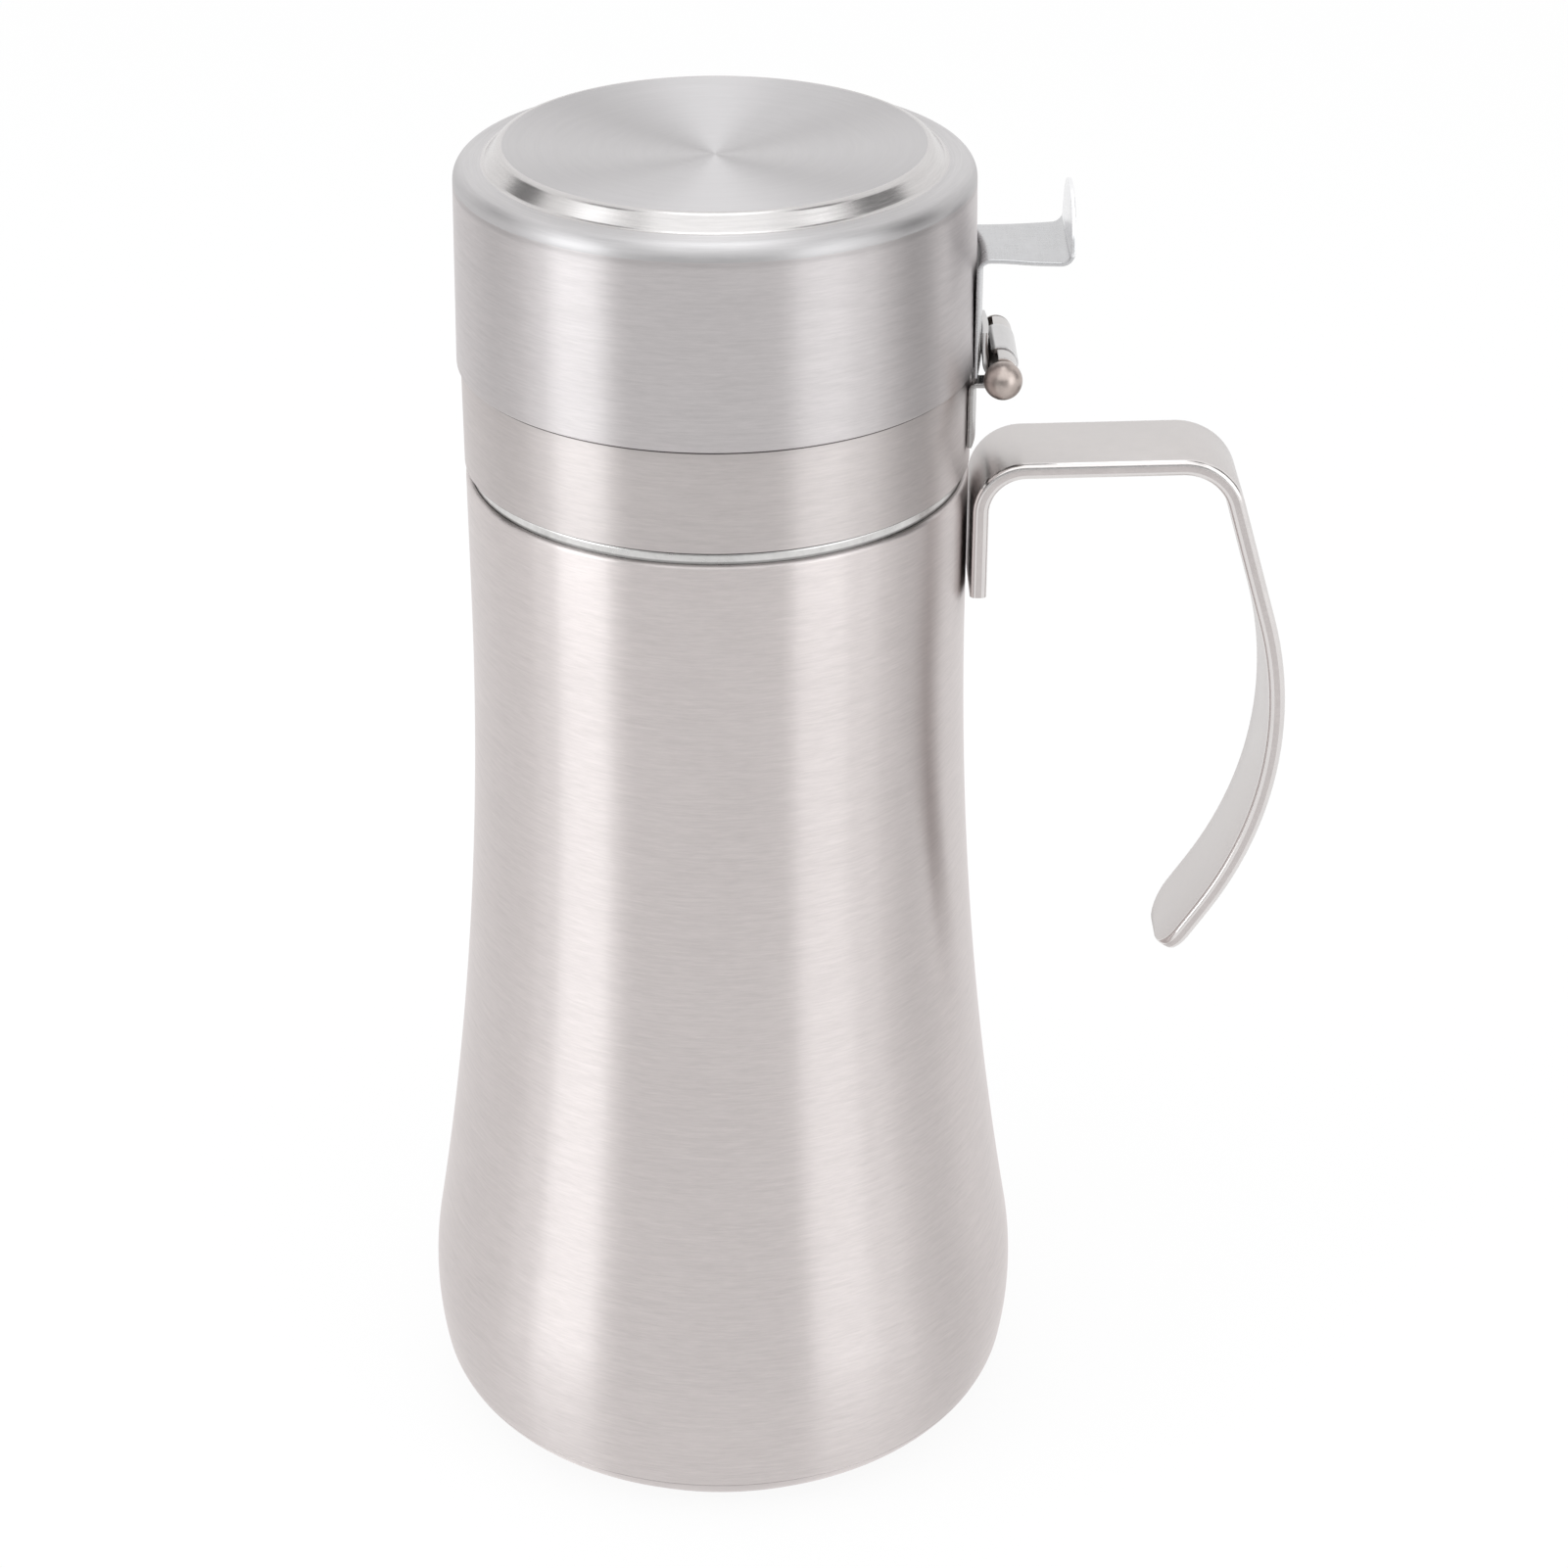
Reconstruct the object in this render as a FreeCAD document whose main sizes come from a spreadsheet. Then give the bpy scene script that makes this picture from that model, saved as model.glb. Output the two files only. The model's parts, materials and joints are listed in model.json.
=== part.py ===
# Oil dispenser: a brushed steel vessel with a strip handle, a head that screws on its neck
# and holds the pour spout, and a lid on a pinned hinge that a thumb lever opens.
# Millimetres, +Z up. The vessel's axis is Z, the handle is towards +X, the table is Z = 0.
import FreeCAD, Part
import math
import os

import Sketcher

Vector = FreeCAD.Vector

# Driving sizes: name, value, meaning
SIZES = [
    ("wall", 0.8, "sheet thickness of the vessel"),
    ("neck_radius", 37.3, "outer radius of the vessel's straight neck"),
    ("neck_length", 21.7, "length of the vessel's straight neck"),
    ("vessel_top", 161.7, "height of the vessel's upper edge"),
    ("lip_round", 0.6, "rounding of the vessel's upper edge"),
    ("belly_radius", 47.5, "largest outer radius of the vessel"),
    ("belly_height", 19.4, "height of the largest radius"),
    ("belly_bulge", 60.0, "radius of the belly's curve, seen from the side"),
    ("corner_radius", 10.0, "radius of the vessel's lower corner"),
    ("corner_height", 10.55, "height of the lower corner's centre"),
    ("seam_height", 6.2, "height of the seam between vessel and base"),
    ("seam_gap", 0.05, "gap along that seam"),
    ("base_wall", 0.8, "sheet thickness of the base"),
    ("base_curl", 1.6, "height where the base turns from the corner to its foot"),
    ("foot_radius", 39.7, "outer radius of the flat foot rim"),
    ("foot_width", 2.2, "width of the flat foot rim"),
    ("foot_ledge", 0.8, "overhang of the base above the foot rim"),
    ("foot_slope", 2.4, "width of the slope from the foot rim to the recess"),
    ("recess_depth", 2.2, "depth of the recess under the base"),
    ("foot_round", 0.3, "rounding of the foot rim"),
    ("ring_wall", 0.9, "sheet thickness of the neck ring"),
    ("ring_fit", 0.05, "gap between the neck ring and the vessel"),
    ("ring_depth", 8.0, "length of the neck ring inside the vessel"),
    ("ring_round", 0.5, "bend rounding of the neck ring"),
    ("groove_height", 2.0, "height of the groove under the collar"),
    ("shoulder_gap", 0.3, "gap between the ring's shoulder and the collar's lower edge"),
    ("thread_inset", 2.4, "how far the neck inside the head stands back from the vessel's neck"),
    ("neck_rise", 8.7, "height of the neck above the collar's lower edge"),
    ("collar_stand", 0.1, "how far the collar stands out over the vessel's neck"),
    ("collar_wall", 0.8, "sheet thickness of the collar"),
    ("collar_height", 15.3, "height of the collar"),
    ("edge_round", 0.25, "rounding of the collar's edges"),
    ("sleeve_wall", 0.7, "thickness of the thread sleeve"),
    ("sleeve_fit", 0.05, "gap between thread sleeve and collar"),
    ("sleeve_lift", 0.3, "height of the sleeve's lower edge above the collar's"),
    ("flange_width", 2.6, "width of the sleeve's inward flange"),
    ("gasket_thick", 0.8, "thickness of the neck gasket"),
    ("gasket_gap", 0.1, "gap above and below the neck gasket"),
    ("gasket_side", 0.35, "gap around the neck gasket"),
    ("gasket_width", 1.7, "width of the neck gasket"),
    ("plate_wall", 0.8, "sheet thickness of the pour plate"),
    ("plate_fit", 0.1, "gap between the pour plate and the collar"),
    ("plate_rise", 2.2, "height of the pour plate's rim above the collar"),
    ("plate_lead", 0.6, "taper of that rim, which leads the lid on"),
    ("plate_bend", 1.5, "bend rounding of the pour plate"),
    ("vent_x", 22.0, "distance of the air hole from the axis"),
    ("vent_radius", 1.6, "radius of the air hole"),
    ("spout_wall", 0.7, "thickness of the pour spout"),
    ("spout_lean", 8.0, "distance along X from the spout's mouth to its foot"),
    ("spout_base_radius", 9.5, "outer radius of the spout's foot"),
    ("waist_lean", 5.4, "distance along X from the spout's mouth to its waist"),
    ("spout_waist_radius", 5.6, "outer radius of the spout's waist"),
    ("spout_waist_rise", 11.0, "height of the waist above the plate"),
    ("spout_tip_radius", 4.4, "outer radius of the spout's mouth"),
    ("spout_height", 23.1, "height of the spout above the plate"),
    ("lid_wall", 0.8, "sheet thickness of the lid"),
    ("lid_gap", 0.15, "gap between the lid and the collar"),
    ("lid_stand", 0.6, "how far the lid's lower edge stands out over the collar"),
    ("lid_taper", 0.55, "how much the lid's side draws in towards its top"),
    ("lid_ring_rise", 29.75, "height of the lid's ring above its lower edge"),
    ("lid_shoulder", 3.0, "rounding of the lid's shoulder"),
    ("shelf_width", 4.45, "distance from the lid's side to the foot of the step"),
    ("step_slope", 2.0, "width of the step's sloping side"),
    ("step_rise", 2.35, "height of the step"),
    ("step_round", 1.3, "rounding of the step's upper edge"),
    ("step_foot_round", 1.0, "rounding at the foot of the step"),
    ("dish_rim", 0.7, "width of the rim around the dish"),
    ("dish_depth", 2.0, "depth of the dish in the lid's top"),
    ("hem_thick", 1.2, "thickness of the folded hem"),
    ("hem_height", 2.5, "height of the folded hem"),
    ("hem_round", 0.3, "rounding of the hem's outer edge"),
    ("cup_margin", 0.3, "distance from the edge of the dish to the stopper cup"),
    ("cup_radius", 6.0, "outer radius of the stopper cup"),
    ("cup_wall", 0.6, "sheet thickness of the stopper cup"),
    ("cup_height", 6.4, "height of the stopper cup"),
    ("cup_fit", 0.05, "gap between the stopper cup and the lid"),
    ("stopper_fit", 0.1, "gap between stopper and cup"),
    ("stopper_gap", 0.3, "gap between stopper and spout"),
    ("stopper_round", 1.2, "rounding of the stopper's lower edge"),
    ("pin_radius", 1.6, "radius of the hinge pin"),
    ("pin_fit", 0.05, "running clearance of the hinge pin"),
    ("collar_leaf_thick", 0.7, "sheet thickness of the collar's hinge leaf"),
    ("lid_leaf_thick", 0.95, "sheet thickness of the lid's hinge leaf"),
    ("leaf_fit", 0.05, "gap between a leaf and what it is welded to"),
    ("leaf_width", 17.0, "width of the collar's hinge leaf"),
    ("hinge_rise", 0.2, "height of the hinge axis above the collar"),
    ("centre_knuckle", 9.4, "length of the centre knuckle"),
    ("knuckle_gap", 0.15, "gap between knuckles"),
    ("notch_gap", 0.45, "gap between a knuckle and the other leaf's notch"),
    ("lid_roll_end", 125.0, "angle above level where the lid leaf's roll ends, from outside"),
    ("collar_roll_end", 105.0, "the same angle for the collar leaf's rolls"),
    ("collar_leaf_drop", 11.7, "length of the collar's leaf below the hinge axis"),
    ("collar_leaf_bend", 0.5, "bend radius of the collar's leaf"),
    ("lid_leaf_rise", 7.8, "length of the lid's leaf above the hinge axis"),
    ("ball_radius", 2.8, "radius of the pin's ball head"),
    ("ball_neck", 2.85, "distance from the barrel to the ball's centre"),
    ("cap_radius", 2.3, "radius of the pin's end cap"),
    ("cap_gap", 0.1, "gap between the barrel and the pin's end cap"),
    ("cap_fit", 0.02, "gap between pin and end cap"),
    ("cap_bore_depth", 1.6, "depth of the end cap's bore"),
    ("cap_bore_radius", 1.1, "radius of the pin's turned-down end"),
    ("lever_thick", 0.6, "sheet thickness of the thumb lever"),
    ("lever_width", 15.0, "width of the thumb lever at the lid"),
    ("lever_flare", 1.5, "how much wider the lever gets on each side at its tab"),
    ("lever_drop", 1.2, "drop from the hinge axis to the lever's lower end"),
    ("lever_height", 16.9, "height of the lever's upper face above the hinge axis"),
    ("lever_reach", 9.9, "distance from the hinge axis to the tab's outer face"),
    ("lever_bend", 0.8, "bend radius at the lid"),
    ("tab_bend", 1.5, "bend radius at the tab"),
    ("tab_rise", 8.9, "height of the tab"),
    ("tab_round", 8.0, "rounding of the tab's corners"),
    ("hug_angle", 40.0, "angle of the sectors from which the leaves' curved sheets are trimmed"),
    ("handle_width", 16.5, "width of the handle's strip"),
    ("handle_thick", 2.5, "thickness of the handle's strip"),
    ("handle_soft", 0.45, "rounding of the strip's long edges"),
    ("weld_gap", 0.3, "height of the weld projections behind the handle"),
    ("weld_radius", 1.6, "radius of a weld projection"),
    ("weld_start", 2.4, "height of the lowest weld projection above the handle's welded end"),
    ("weld_pitch", 4.4, "distance between weld projections"),
    ("leg_drop", 18.5, "drop from the vessel's upper edge to the handle's welded end"),
    ("arm_rise", 1.6, "height of the first bend's corner above the vessel's upper edge"),
    ("first_bend", 6.8, "radius of the first bend"),
    ("arm_reach", 37.55, "distance from the vessel's neck to the second bend's corner"),
    ("shoulder_rise", 2.5, "height of that corner above the vessel's upper edge"),
    ("second_bend", 8.4, "radius of the second bend"),
    ("bow_reach", 52.8, "distance from the vessel's neck to the corner that the bow rounds off"),
    ("bow_drop", 49.1, "drop from the vessel's upper edge to that corner"),
    ("bow_radius", 60.0, "radius of the grip's bow"),
    ("end_reach", 32.45, "distance from the vessel's neck to the handle's free end"),
    ("end_drop", 80.8, "drop from the vessel's upper edge to the handle's free end"),
    ("end_round_drop", 1.2, "how far the rounded end reaches below the strip's end"),
]

doc = FreeCAD.newDocument("OilDispenser")
sheet = doc.addObject("Spreadsheet::Sheet", "Sizes")


class Size:
    """A size that carries its number and the sheet expression that gives it."""

    def __init__(self, number, words):
        self.number = float(number)
        self.words = words

    def __add__(self, other):
        other = as_size(other)
        return Size(self.number + other.number, f"({self.words} + {other.words})")

    def __radd__(self, other):
        return as_size(other) + self

    def __sub__(self, other):
        other = as_size(other)
        return Size(self.number - other.number, f"({self.words} - {other.words})")

    def __rsub__(self, other):
        return as_size(other) - self

    def __mul__(self, other):
        other = as_size(other)
        return Size(self.number * other.number, f"({self.words} * {other.words})")

    def __rmul__(self, other):
        return as_size(other) * self

    def __truediv__(self, other):
        other = as_size(other)
        return Size(self.number / other.number, f"({self.words} / {other.words})")

    def __neg__(self):
        return 0 - self


def as_size(value):
    """The value as a Size."""
    return value if isinstance(value, Size) else Size(value, f"({value:g})")


def root(size):
    """The square root of a size."""
    return Size(math.sqrt(size.number), f"sqrt({size.words})")


def cosine(angle):
    """The cosine of an angle in degrees."""
    return Size(math.cos(math.radians(angle.number)), f"cos({angle.words})")


def sine(angle):
    """The sine of an angle in degrees."""
    return Size(math.sin(math.radians(angle.number)), f"sin({angle.words})")


class Sheet:
    """The driving sizes by name, as sizes bound to the spreadsheet."""

    def __init__(self, rows):
        for row, (name, value, meaning) in enumerate(rows, start=1):
            sheet.set(f"A{row}", str(value))
            sheet.setAlias(f"A{row}", name)
            sheet.set(f"B{row}", meaning)
            setattr(self, name, Size(value, f"Sizes.{name}"))


s = Sheet(SIZES)
doc.recompute()


# Heights and places that several pieces share
neck_start = s.vessel_top - s.neck_length
thread_radius = s.neck_radius - s.thread_inset
collar_radius = s.neck_radius + s.collar_stand
lid_rim_radius = collar_radius + s.lid_stand
lid_side_radius = lid_rim_radius - s.lid_taper
step_foot_radius = lid_side_radius - s.shelf_width
step_top_radius = step_foot_radius - s.step_slope
dish_edge = step_top_radius - s.dish_rim
dish_curve = (dish_edge * dish_edge + s.dish_depth * s.dish_depth) / (2 * s.dish_depth)
spout_tip_x = s.cup_radius + s.cup_margin - dish_edge
spout_base_x = spout_tip_x + s.spout_lean
spout_waist_x = spout_tip_x + s.waist_lean
leg_bottom = s.vessel_top - s.leg_drop
collar_bottom = s.vessel_top + s.groove_height
collar_top = collar_bottom + s.collar_height
collar_inside = collar_radius - s.collar_wall
sleeve_outside = collar_inside - s.sleeve_fit
sleeve_inside = sleeve_outside - s.sleeve_wall
neck_top = collar_bottom + s.neck_rise
gasket_bottom = neck_top + s.gasket_gap
flange_bottom = gasket_bottom + s.gasket_thick + s.gasket_gap
plate_bottom = flange_bottom + s.sleeve_wall
plate_top = plate_bottom + s.plate_wall
lid_bottom = collar_top + s.lid_gap
lid_ring = lid_bottom + s.lid_ring_rise
lid_top = lid_ring + s.step_rise
knuckle_inside = s.pin_radius + s.pin_fit
collar_knuckle = knuckle_inside + s.collar_leaf_thick
lid_knuckle = knuckle_inside + s.lid_leaf_thick
hinge_x = lid_rim_radius + s.leaf_fit + s.lever_thick + s.leaf_fit + lid_knuckle
hinge_z = collar_top + s.hinge_rise
spout_top = plate_top + s.spout_height


class At:
    """A corner of an outline: its place, its rounding, and the arc that arrives at it, if any."""

    def __init__(self, x, y, rounding=None, arc=None, turn=0):
        self.x = as_size(x)
        self.y = as_size(y)
        self.rounding = rounding
        self.arc = arc
        self.turn = turn
        self.spot = Vector(self.x.number, self.y.number, 0)


def arc_between(start, end, radius, turn):
    """The shorter arc from start to end, turning left (1) or right (-1)."""
    chord = end - start
    height = math.sqrt(max(radius * radius - chord.Length ** 2 / 4, 0.0))
    left = Vector(-chord.y, chord.x, 0).normalize()
    centre = (start + end) * 0.5 + left * (turn * height)
    first, last = (start, end) if turn > 0 else (end, start)
    begin = math.atan2(first.y - centre.y, first.x - centre.x)
    finish = math.atan2(last.y - centre.y, last.x - centre.x)
    circle = Part.Circle(centre, Vector(0, 0, 1), radius)
    return Part.ArcOfCircle(circle, begin, finish)


def tangent_points(before, corner, after, radius):
    """Where a rounding of the corner leaves its two straight edges, and which way it turns."""
    inward = (corner - before).normalize()
    outward = (after - corner).normalize()
    cross = inward.x * outward.y - inward.y * outward.x
    angle = math.atan2(abs(cross), inward.dot(outward))
    reach = radius * math.tan(angle / 2)
    return corner - inward * reach, corner + outward * reach, 1 if cross > 0 else -1


class Drawing:
    """Geometry and constraints collected for one sketch."""

    def __init__(self, sketch):
        self.sketch = sketch
        self.constraints = []
        self.words = []

    def curve(self, shape, construction=False):
        return self.sketch.addGeometry(shape, construction)

    def tie(self, kind, *references, size=None):
        values = references if size is None else (*references, size.number)
        self.constraints.append(Sketcher.Constraint(kind, *values))
        self.words.append(None if size is None else size.words)

    def place(self, curve, end, x, y):
        self.tie("DistanceX", -1, 1, curve, end, size=x)
        self.tie("DistanceY", -1, 1, curve, end, size=y)

    def finish(self):
        first = self.sketch.ConstraintCount
        self.sketch.addConstraint(self.constraints)
        for number, words in enumerate(self.words, start=first):
            if words is not None:
                self.sketch.setExpression(f"Constraints[{number}]", words)


def draw_outline(sketch, corners, closed=True):
    """Draw straight and curved edges through the corners, and bind every corner to the sheet."""
    drawing = Drawing(sketch)
    count = len(corners)
    starts = [corner.spot for corner in corners]
    ends = [corner.spot for corner in corners]
    turns = [0] * count
    for i, corner in enumerate(corners):
        if corner.rounding is not None:
            before, after = corners[i - 1].spot, corners[(i + 1) % count].spot
            radius = corner.rounding.number
            ends[i], starts[i], turns[i] = tangent_points(before, corner.spot, after, radius)
    edges = []
    for i in range(count if closed else count - 1):
        target = corners[(i + 1) % count]
        start, end = starts[i], ends[(i + 1) % count]
        if target.arc is None:
            edges.append((drawing.curve(Part.LineSegment(start, end)), 1, 2))
            continue
        arc = arc_between(start, end, target.arc.number, target.turn)
        curve = drawing.curve(arc)
        drawing.tie("Radius", curve, size=target.arc)
        edges.append((curve, 1, 2) if target.turn > 0 else (curve, 2, 1))
    for i, corner in enumerate(corners):
        arriving = edges[i - 1] if closed or i > 0 else None
        leaving = edges[i] if i < len(edges) else None
        if corner.rounding is None:
            near = leaving if leaving is not None else arriving
            drawing.place(near[0], near[1] if leaving is not None else near[2], corner.x, corner.y)
            if arriving is not None and leaving is not None:
                drawing.tie("Coincident", arriving[0], arriving[2], leaving[0], leaving[1])
            continue
        arc = arc_between(ends[i], starts[i], corner.rounding.number, turns[i])
        curve = drawing.curve(arc)
        first, last = (1, 2) if turns[i] > 0 else (2, 1)
        drawing.tie("Tangent", arriving[0], arriving[2], curve, first)
        drawing.tie("Tangent", curve, last, leaving[0], leaving[1])
        drawing.tie("Radius", curve, size=corner.rounding)
        point = drawing.curve(Part.Point(corner.spot), True)
        drawing.tie("PointOnObject", point, 1, arriving[0])
        drawing.tie("PointOnObject", point, 1, leaving[0])
        drawing.place(point, 1, corner.x, corner.y)
    drawing.finish()


def draw_circle(sketch, x, y, radius):
    """Draw a circle bound to the sheet."""
    drawing = Drawing(sketch)
    x, y = as_size(x), as_size(y)
    centre = Vector(x.number, y.number, 0)
    curve = drawing.curve(Part.Circle(centre, Vector(0, 0, 1), radius.number))
    drawing.tie("Radius", curve, size=radius)
    drawing.place(curve, 3, x, y)
    drawing.finish()


def new_body(label, x=None, z=None):
    """A body for one piece, moved to its place by the sheet."""
    body = doc.addObject("PartDesign::Body", label.title().replace("_", ""))
    body.Label = label
    if x is not None:
        body.setExpression("Placement.Base.x", x.words)
    if z is not None:
        body.setExpression("Placement.Base.z", z.words)
    return body


def new_sketch(body, name, plane="XZ_Plane", offset=None):
    """A sketch on one of the body's own planes, or parallel to it."""
    sketch = body.newObject("Sketcher::SketchObject", name)
    support = next(f for f in body.Origin.OriginFeatures if f.Role == plane)
    sketch.AttachmentSupport = [(support, "")]
    sketch.MapMode = "FlatFace"
    if offset is not None:
        sketch.setExpression("AttachmentOffset.Base.z", offset.words)
    return sketch


def outline_sketch(body, name, corners, plane="XZ_Plane", offset=None, closed=True):
    """A sketch that holds one outline."""
    sketch = new_sketch(body, name, plane, offset)
    draw_outline(sketch, corners, closed)
    return sketch


def circle_sketch(body, name, x, y, radius, plane="XY_Plane", offset=None):
    """A sketch that holds one circle."""
    sketch = new_sketch(body, name, plane, offset)
    draw_circle(sketch, x, y, radius)
    return sketch


def revolve(body, name, sketch):
    """Turn an outline about the sketch's upright axis."""
    feature = body.newObject("PartDesign::Revolution", name)
    feature.Profile = sketch
    feature.ReferenceAxis = (sketch, ["V_Axis"])
    feature.Angle = 360.0
    return feature


def revolve_sector(body, name, sketch):
    """Turn an outline about the sketch's upright axis, by half the hug angle to each side."""
    feature = revolve(body, name, sketch)
    feature.Midplane = True
    feature.setExpression("Angle", s.hug_angle.words)
    return feature


def pad(body, name, sketch, length):
    """Thicken an outline by half the length to each side."""
    feature = body.newObject("PartDesign::Pad", name)
    feature.Profile = sketch
    feature.SideType = "Symmetric"
    feature.setExpression("Length", length.words)
    return feature


def cut_through(body, name, sketch):
    """Cut an outline through the whole piece, both ways."""
    doc.recompute()
    before = body.Shape.Volume
    feature = body.newObject("PartDesign::Pocket", name)
    feature.Profile = sketch
    feature.SideType = "Symmetric"
    feature.Type = "ThroughAll"
    doc.recompute()
    if body.Shape.Volume >= before:
        raise RuntimeError(f"{name} cuts nothing")
    return feature


def loft(body, kind, name, sections):
    """A loft, added or cut, through the sections."""
    feature = body.newObject(kind, name)
    feature.Profile = sections[0]
    feature.Sections = sections[1:]
    return feature


def corner_centre():
    """Where the centre of the vessel's lower corner lies, outwards from the axis."""
    drop = (s.belly_height - s.corner_height) / (s.belly_bulge - s.corner_radius)
    return s.belly_radius - s.belly_bulge + (s.belly_bulge - s.corner_radius) * root(1 - drop * drop)


def on_corner(inset, height, arc=None, turn=0):
    """The place on the lower corner that is at this height outside, moved inwards by the inset."""
    sunk = (s.corner_height - height) / s.corner_radius
    radius = s.corner_radius - inset
    x = corner_centre() + radius * root(1 - sunk * sunk)
    return At(x, s.corner_height - radius * sunk, arc=arc, turn=turn)


def vessel_side(inset):
    """The vessel's side, moved inwards by the inset: its tangent points from top to bottom."""
    slim = s.belly_radius - s.neck_radius
    tall = neck_start - s.belly_height
    reach = (slim * slim + tall * tall) / (2 * slim)
    belly_x = s.belly_radius - s.belly_bulge
    bulge = s.belly_bulge - inset
    flex = bulge / reach
    drop = (s.belly_height - s.corner_height) / (s.belly_bulge - s.corner_radius)
    level = root(1 - drop * drop)
    flank = reach - s.belly_bulge + inset
    return [
        At(s.neck_radius - inset, neck_start),
        At(belly_x + flex * (reach - slim), s.belly_height + flex * tall, arc=flank, turn=1),
        At(belly_x + bulge * level, s.belly_height - bulge * drop, arc=bulge, turn=-1),
        on_corner(inset, s.seam_height, arc=s.corner_radius - inset, turn=-1),
    ]


def reversed_side(side):
    """The same stretch of outline walked the other way."""
    walked = []
    for i in reversed(range(len(side))):
        corner = side[i]
        later = side[i + 1] if i + 1 < len(side) else None
        arc = later.arc if later is not None else None
        turn = -later.turn if later is not None else 0
        walked.append(At(corner.x, corner.y, arc=arc, turn=turn))
    return walked


def make_body_shell():
    """The vessel's wall: straight neck, long flank, belly and lower corner."""
    body = new_body("body_shell")
    outside = vessel_side(as_size(0))
    inside = reversed_side(vessel_side(s.wall))
    corners = [
        At(s.neck_radius - s.wall, s.vessel_top),
        At(s.neck_radius, s.vessel_top, rounding=s.lip_round),
        *outside,
        *inside,
    ]
    revolve(body, "VesselWall", outline_sketch(body, "VesselOutline", corners))
    return body


def make_base_plate():
    """The pressed bottom: the lower part of the corner, and the rim that it stands on."""
    body = new_body("base_plate")
    flush = as_size(0)
    edge = s.seam_height - s.seam_gap
    recess_radius = s.foot_radius - s.foot_width - s.foot_slope
    channel_radius = s.foot_radius - s.foot_width / 2
    ledge_height = s.base_curl - s.wall / 2
    corners = [
        At(0, s.recess_depth),
        At(recess_radius, s.recess_depth),
        At(s.foot_radius - s.foot_width, 0),
        At(s.foot_radius, 0, rounding=s.foot_round),
        At(s.foot_radius + s.foot_ledge, ledge_height),
        on_corner(flush, s.base_curl),
        on_corner(flush, edge, arc=s.corner_radius, turn=1),
        on_corner(s.wall, edge),
        on_corner(s.wall, s.base_curl, arc=s.corner_radius - s.wall, turn=-1),
        At(channel_radius + s.base_wall, s.base_wall + s.wall / 2),
        At(channel_radius - s.base_wall, s.base_wall + s.wall / 2),
        At(recess_radius, s.recess_depth + s.base_wall),
        At(0, s.recess_depth + s.base_wall),
    ]
    revolve(body, "Pressing", outline_sketch(body, "BaseOutline", corners))
    return body


def make_neck_ring():
    """The ring in the vessel's mouth: a shoulder under the collar and a neck inside the head."""
    body = new_body("neck_ring")
    low = s.neck_radius - s.wall - s.ring_fit
    shoulder = collar_bottom - s.shoulder_gap
    bottom = s.vessel_top - s.ring_depth
    corners = [
        At(low - s.ring_wall, bottom),
        At(low, bottom),
        At(low, shoulder, rounding=s.ring_round),
        At(thread_radius, shoulder),
        At(thread_radius, neck_top, rounding=s.ring_round),
        At(thread_radius - s.ring_wall, neck_top),
        At(thread_radius - s.ring_wall, shoulder - s.ring_wall),
        At(low - s.ring_wall, shoulder - s.ring_wall),
    ]
    revolve(body, "Ring", outline_sketch(body, "RingOutline", corners))
    return body


def make_handle():
    """The handle: one strip, welded at its upper end and free at its lower end."""
    body = new_body("handle")
    leg_x = s.neck_radius + s.weld_gap + s.handle_thick / 2
    path = outline_sketch(body, "StripPath", [
        At(leg_x, leg_bottom),
        At(leg_x, s.vessel_top + s.arm_rise, rounding=s.first_bend),
        At(s.neck_radius + s.arm_reach, s.vessel_top + s.shoulder_rise, rounding=s.second_bend),
        At(s.neck_radius + s.bow_reach, s.vessel_top - s.bow_drop, rounding=s.bow_radius),
        At(s.neck_radius + s.end_reach, s.vessel_top - s.end_drop),
    ], closed=False)
    half, thin = s.handle_width / 2, s.handle_thick / 2
    section = outline_sketch(body, "StripSection", [
        At(leg_x - thin, -half, rounding=s.handle_soft),
        At(leg_x + thin, -half, rounding=s.handle_soft),
        At(leg_x + thin, half, rounding=s.handle_soft),
        At(leg_x - thin, half, rounding=s.handle_soft),
    ], plane="XY_Plane", offset=leg_bottom)
    doc.recompute()
    strip = body.newObject("PartDesign::AdditivePipe", "Strip")
    strip.Profile = section
    strip.Spine = (path, [f"Edge{i + 1}" for i in range(len(path.Shape.Edges))])
    end = s.vessel_top - s.end_drop - s.end_round_drop
    margin = s.handle_thick
    cut_through(body, "RoundedEnd", outline_sketch(body, "EndOutline", [
        At(half + margin, end + half),
        At(half + margin, end - margin),
        At(-half - margin, end - margin),
        At(-half - margin, end + half),
        At(-half, end + half),
        At(0, end, arc=half, turn=1),
        At(half, end + half, arc=half, turn=1),
    ], plane="YZ_Plane"))
    for i, name in enumerate(("Low", "Middle", "High")):
        height = leg_bottom + s.weld_start + i * s.weld_pitch
        weld = body.newObject("PartDesign::Pad", f"{name}Weld")
        weld.Profile = circle_sketch(
            body, f"{name}WeldCircle", 0, height, s.weld_radius, "YZ_Plane", leg_x
        )
        weld.Reversed = True
        weld.setExpression("Length", (s.weld_gap + thin + s.weld_gap).words)
    cut_through(body, "VesselSeat", circle_sketch(body, "SeatCircle", 0, 0, s.neck_radius))
    return body


def make_collar():
    """The brushed ring under the lid."""
    body = new_body("collar")
    corners = [
        At(collar_inside, collar_bottom),
        At(collar_radius, collar_bottom, rounding=s.edge_round),
        At(collar_radius, collar_top, rounding=s.edge_round),
        At(collar_inside, collar_top),
    ]
    revolve(body, "CollarRing", outline_sketch(body, "CollarOutline", corners))
    return body


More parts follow.
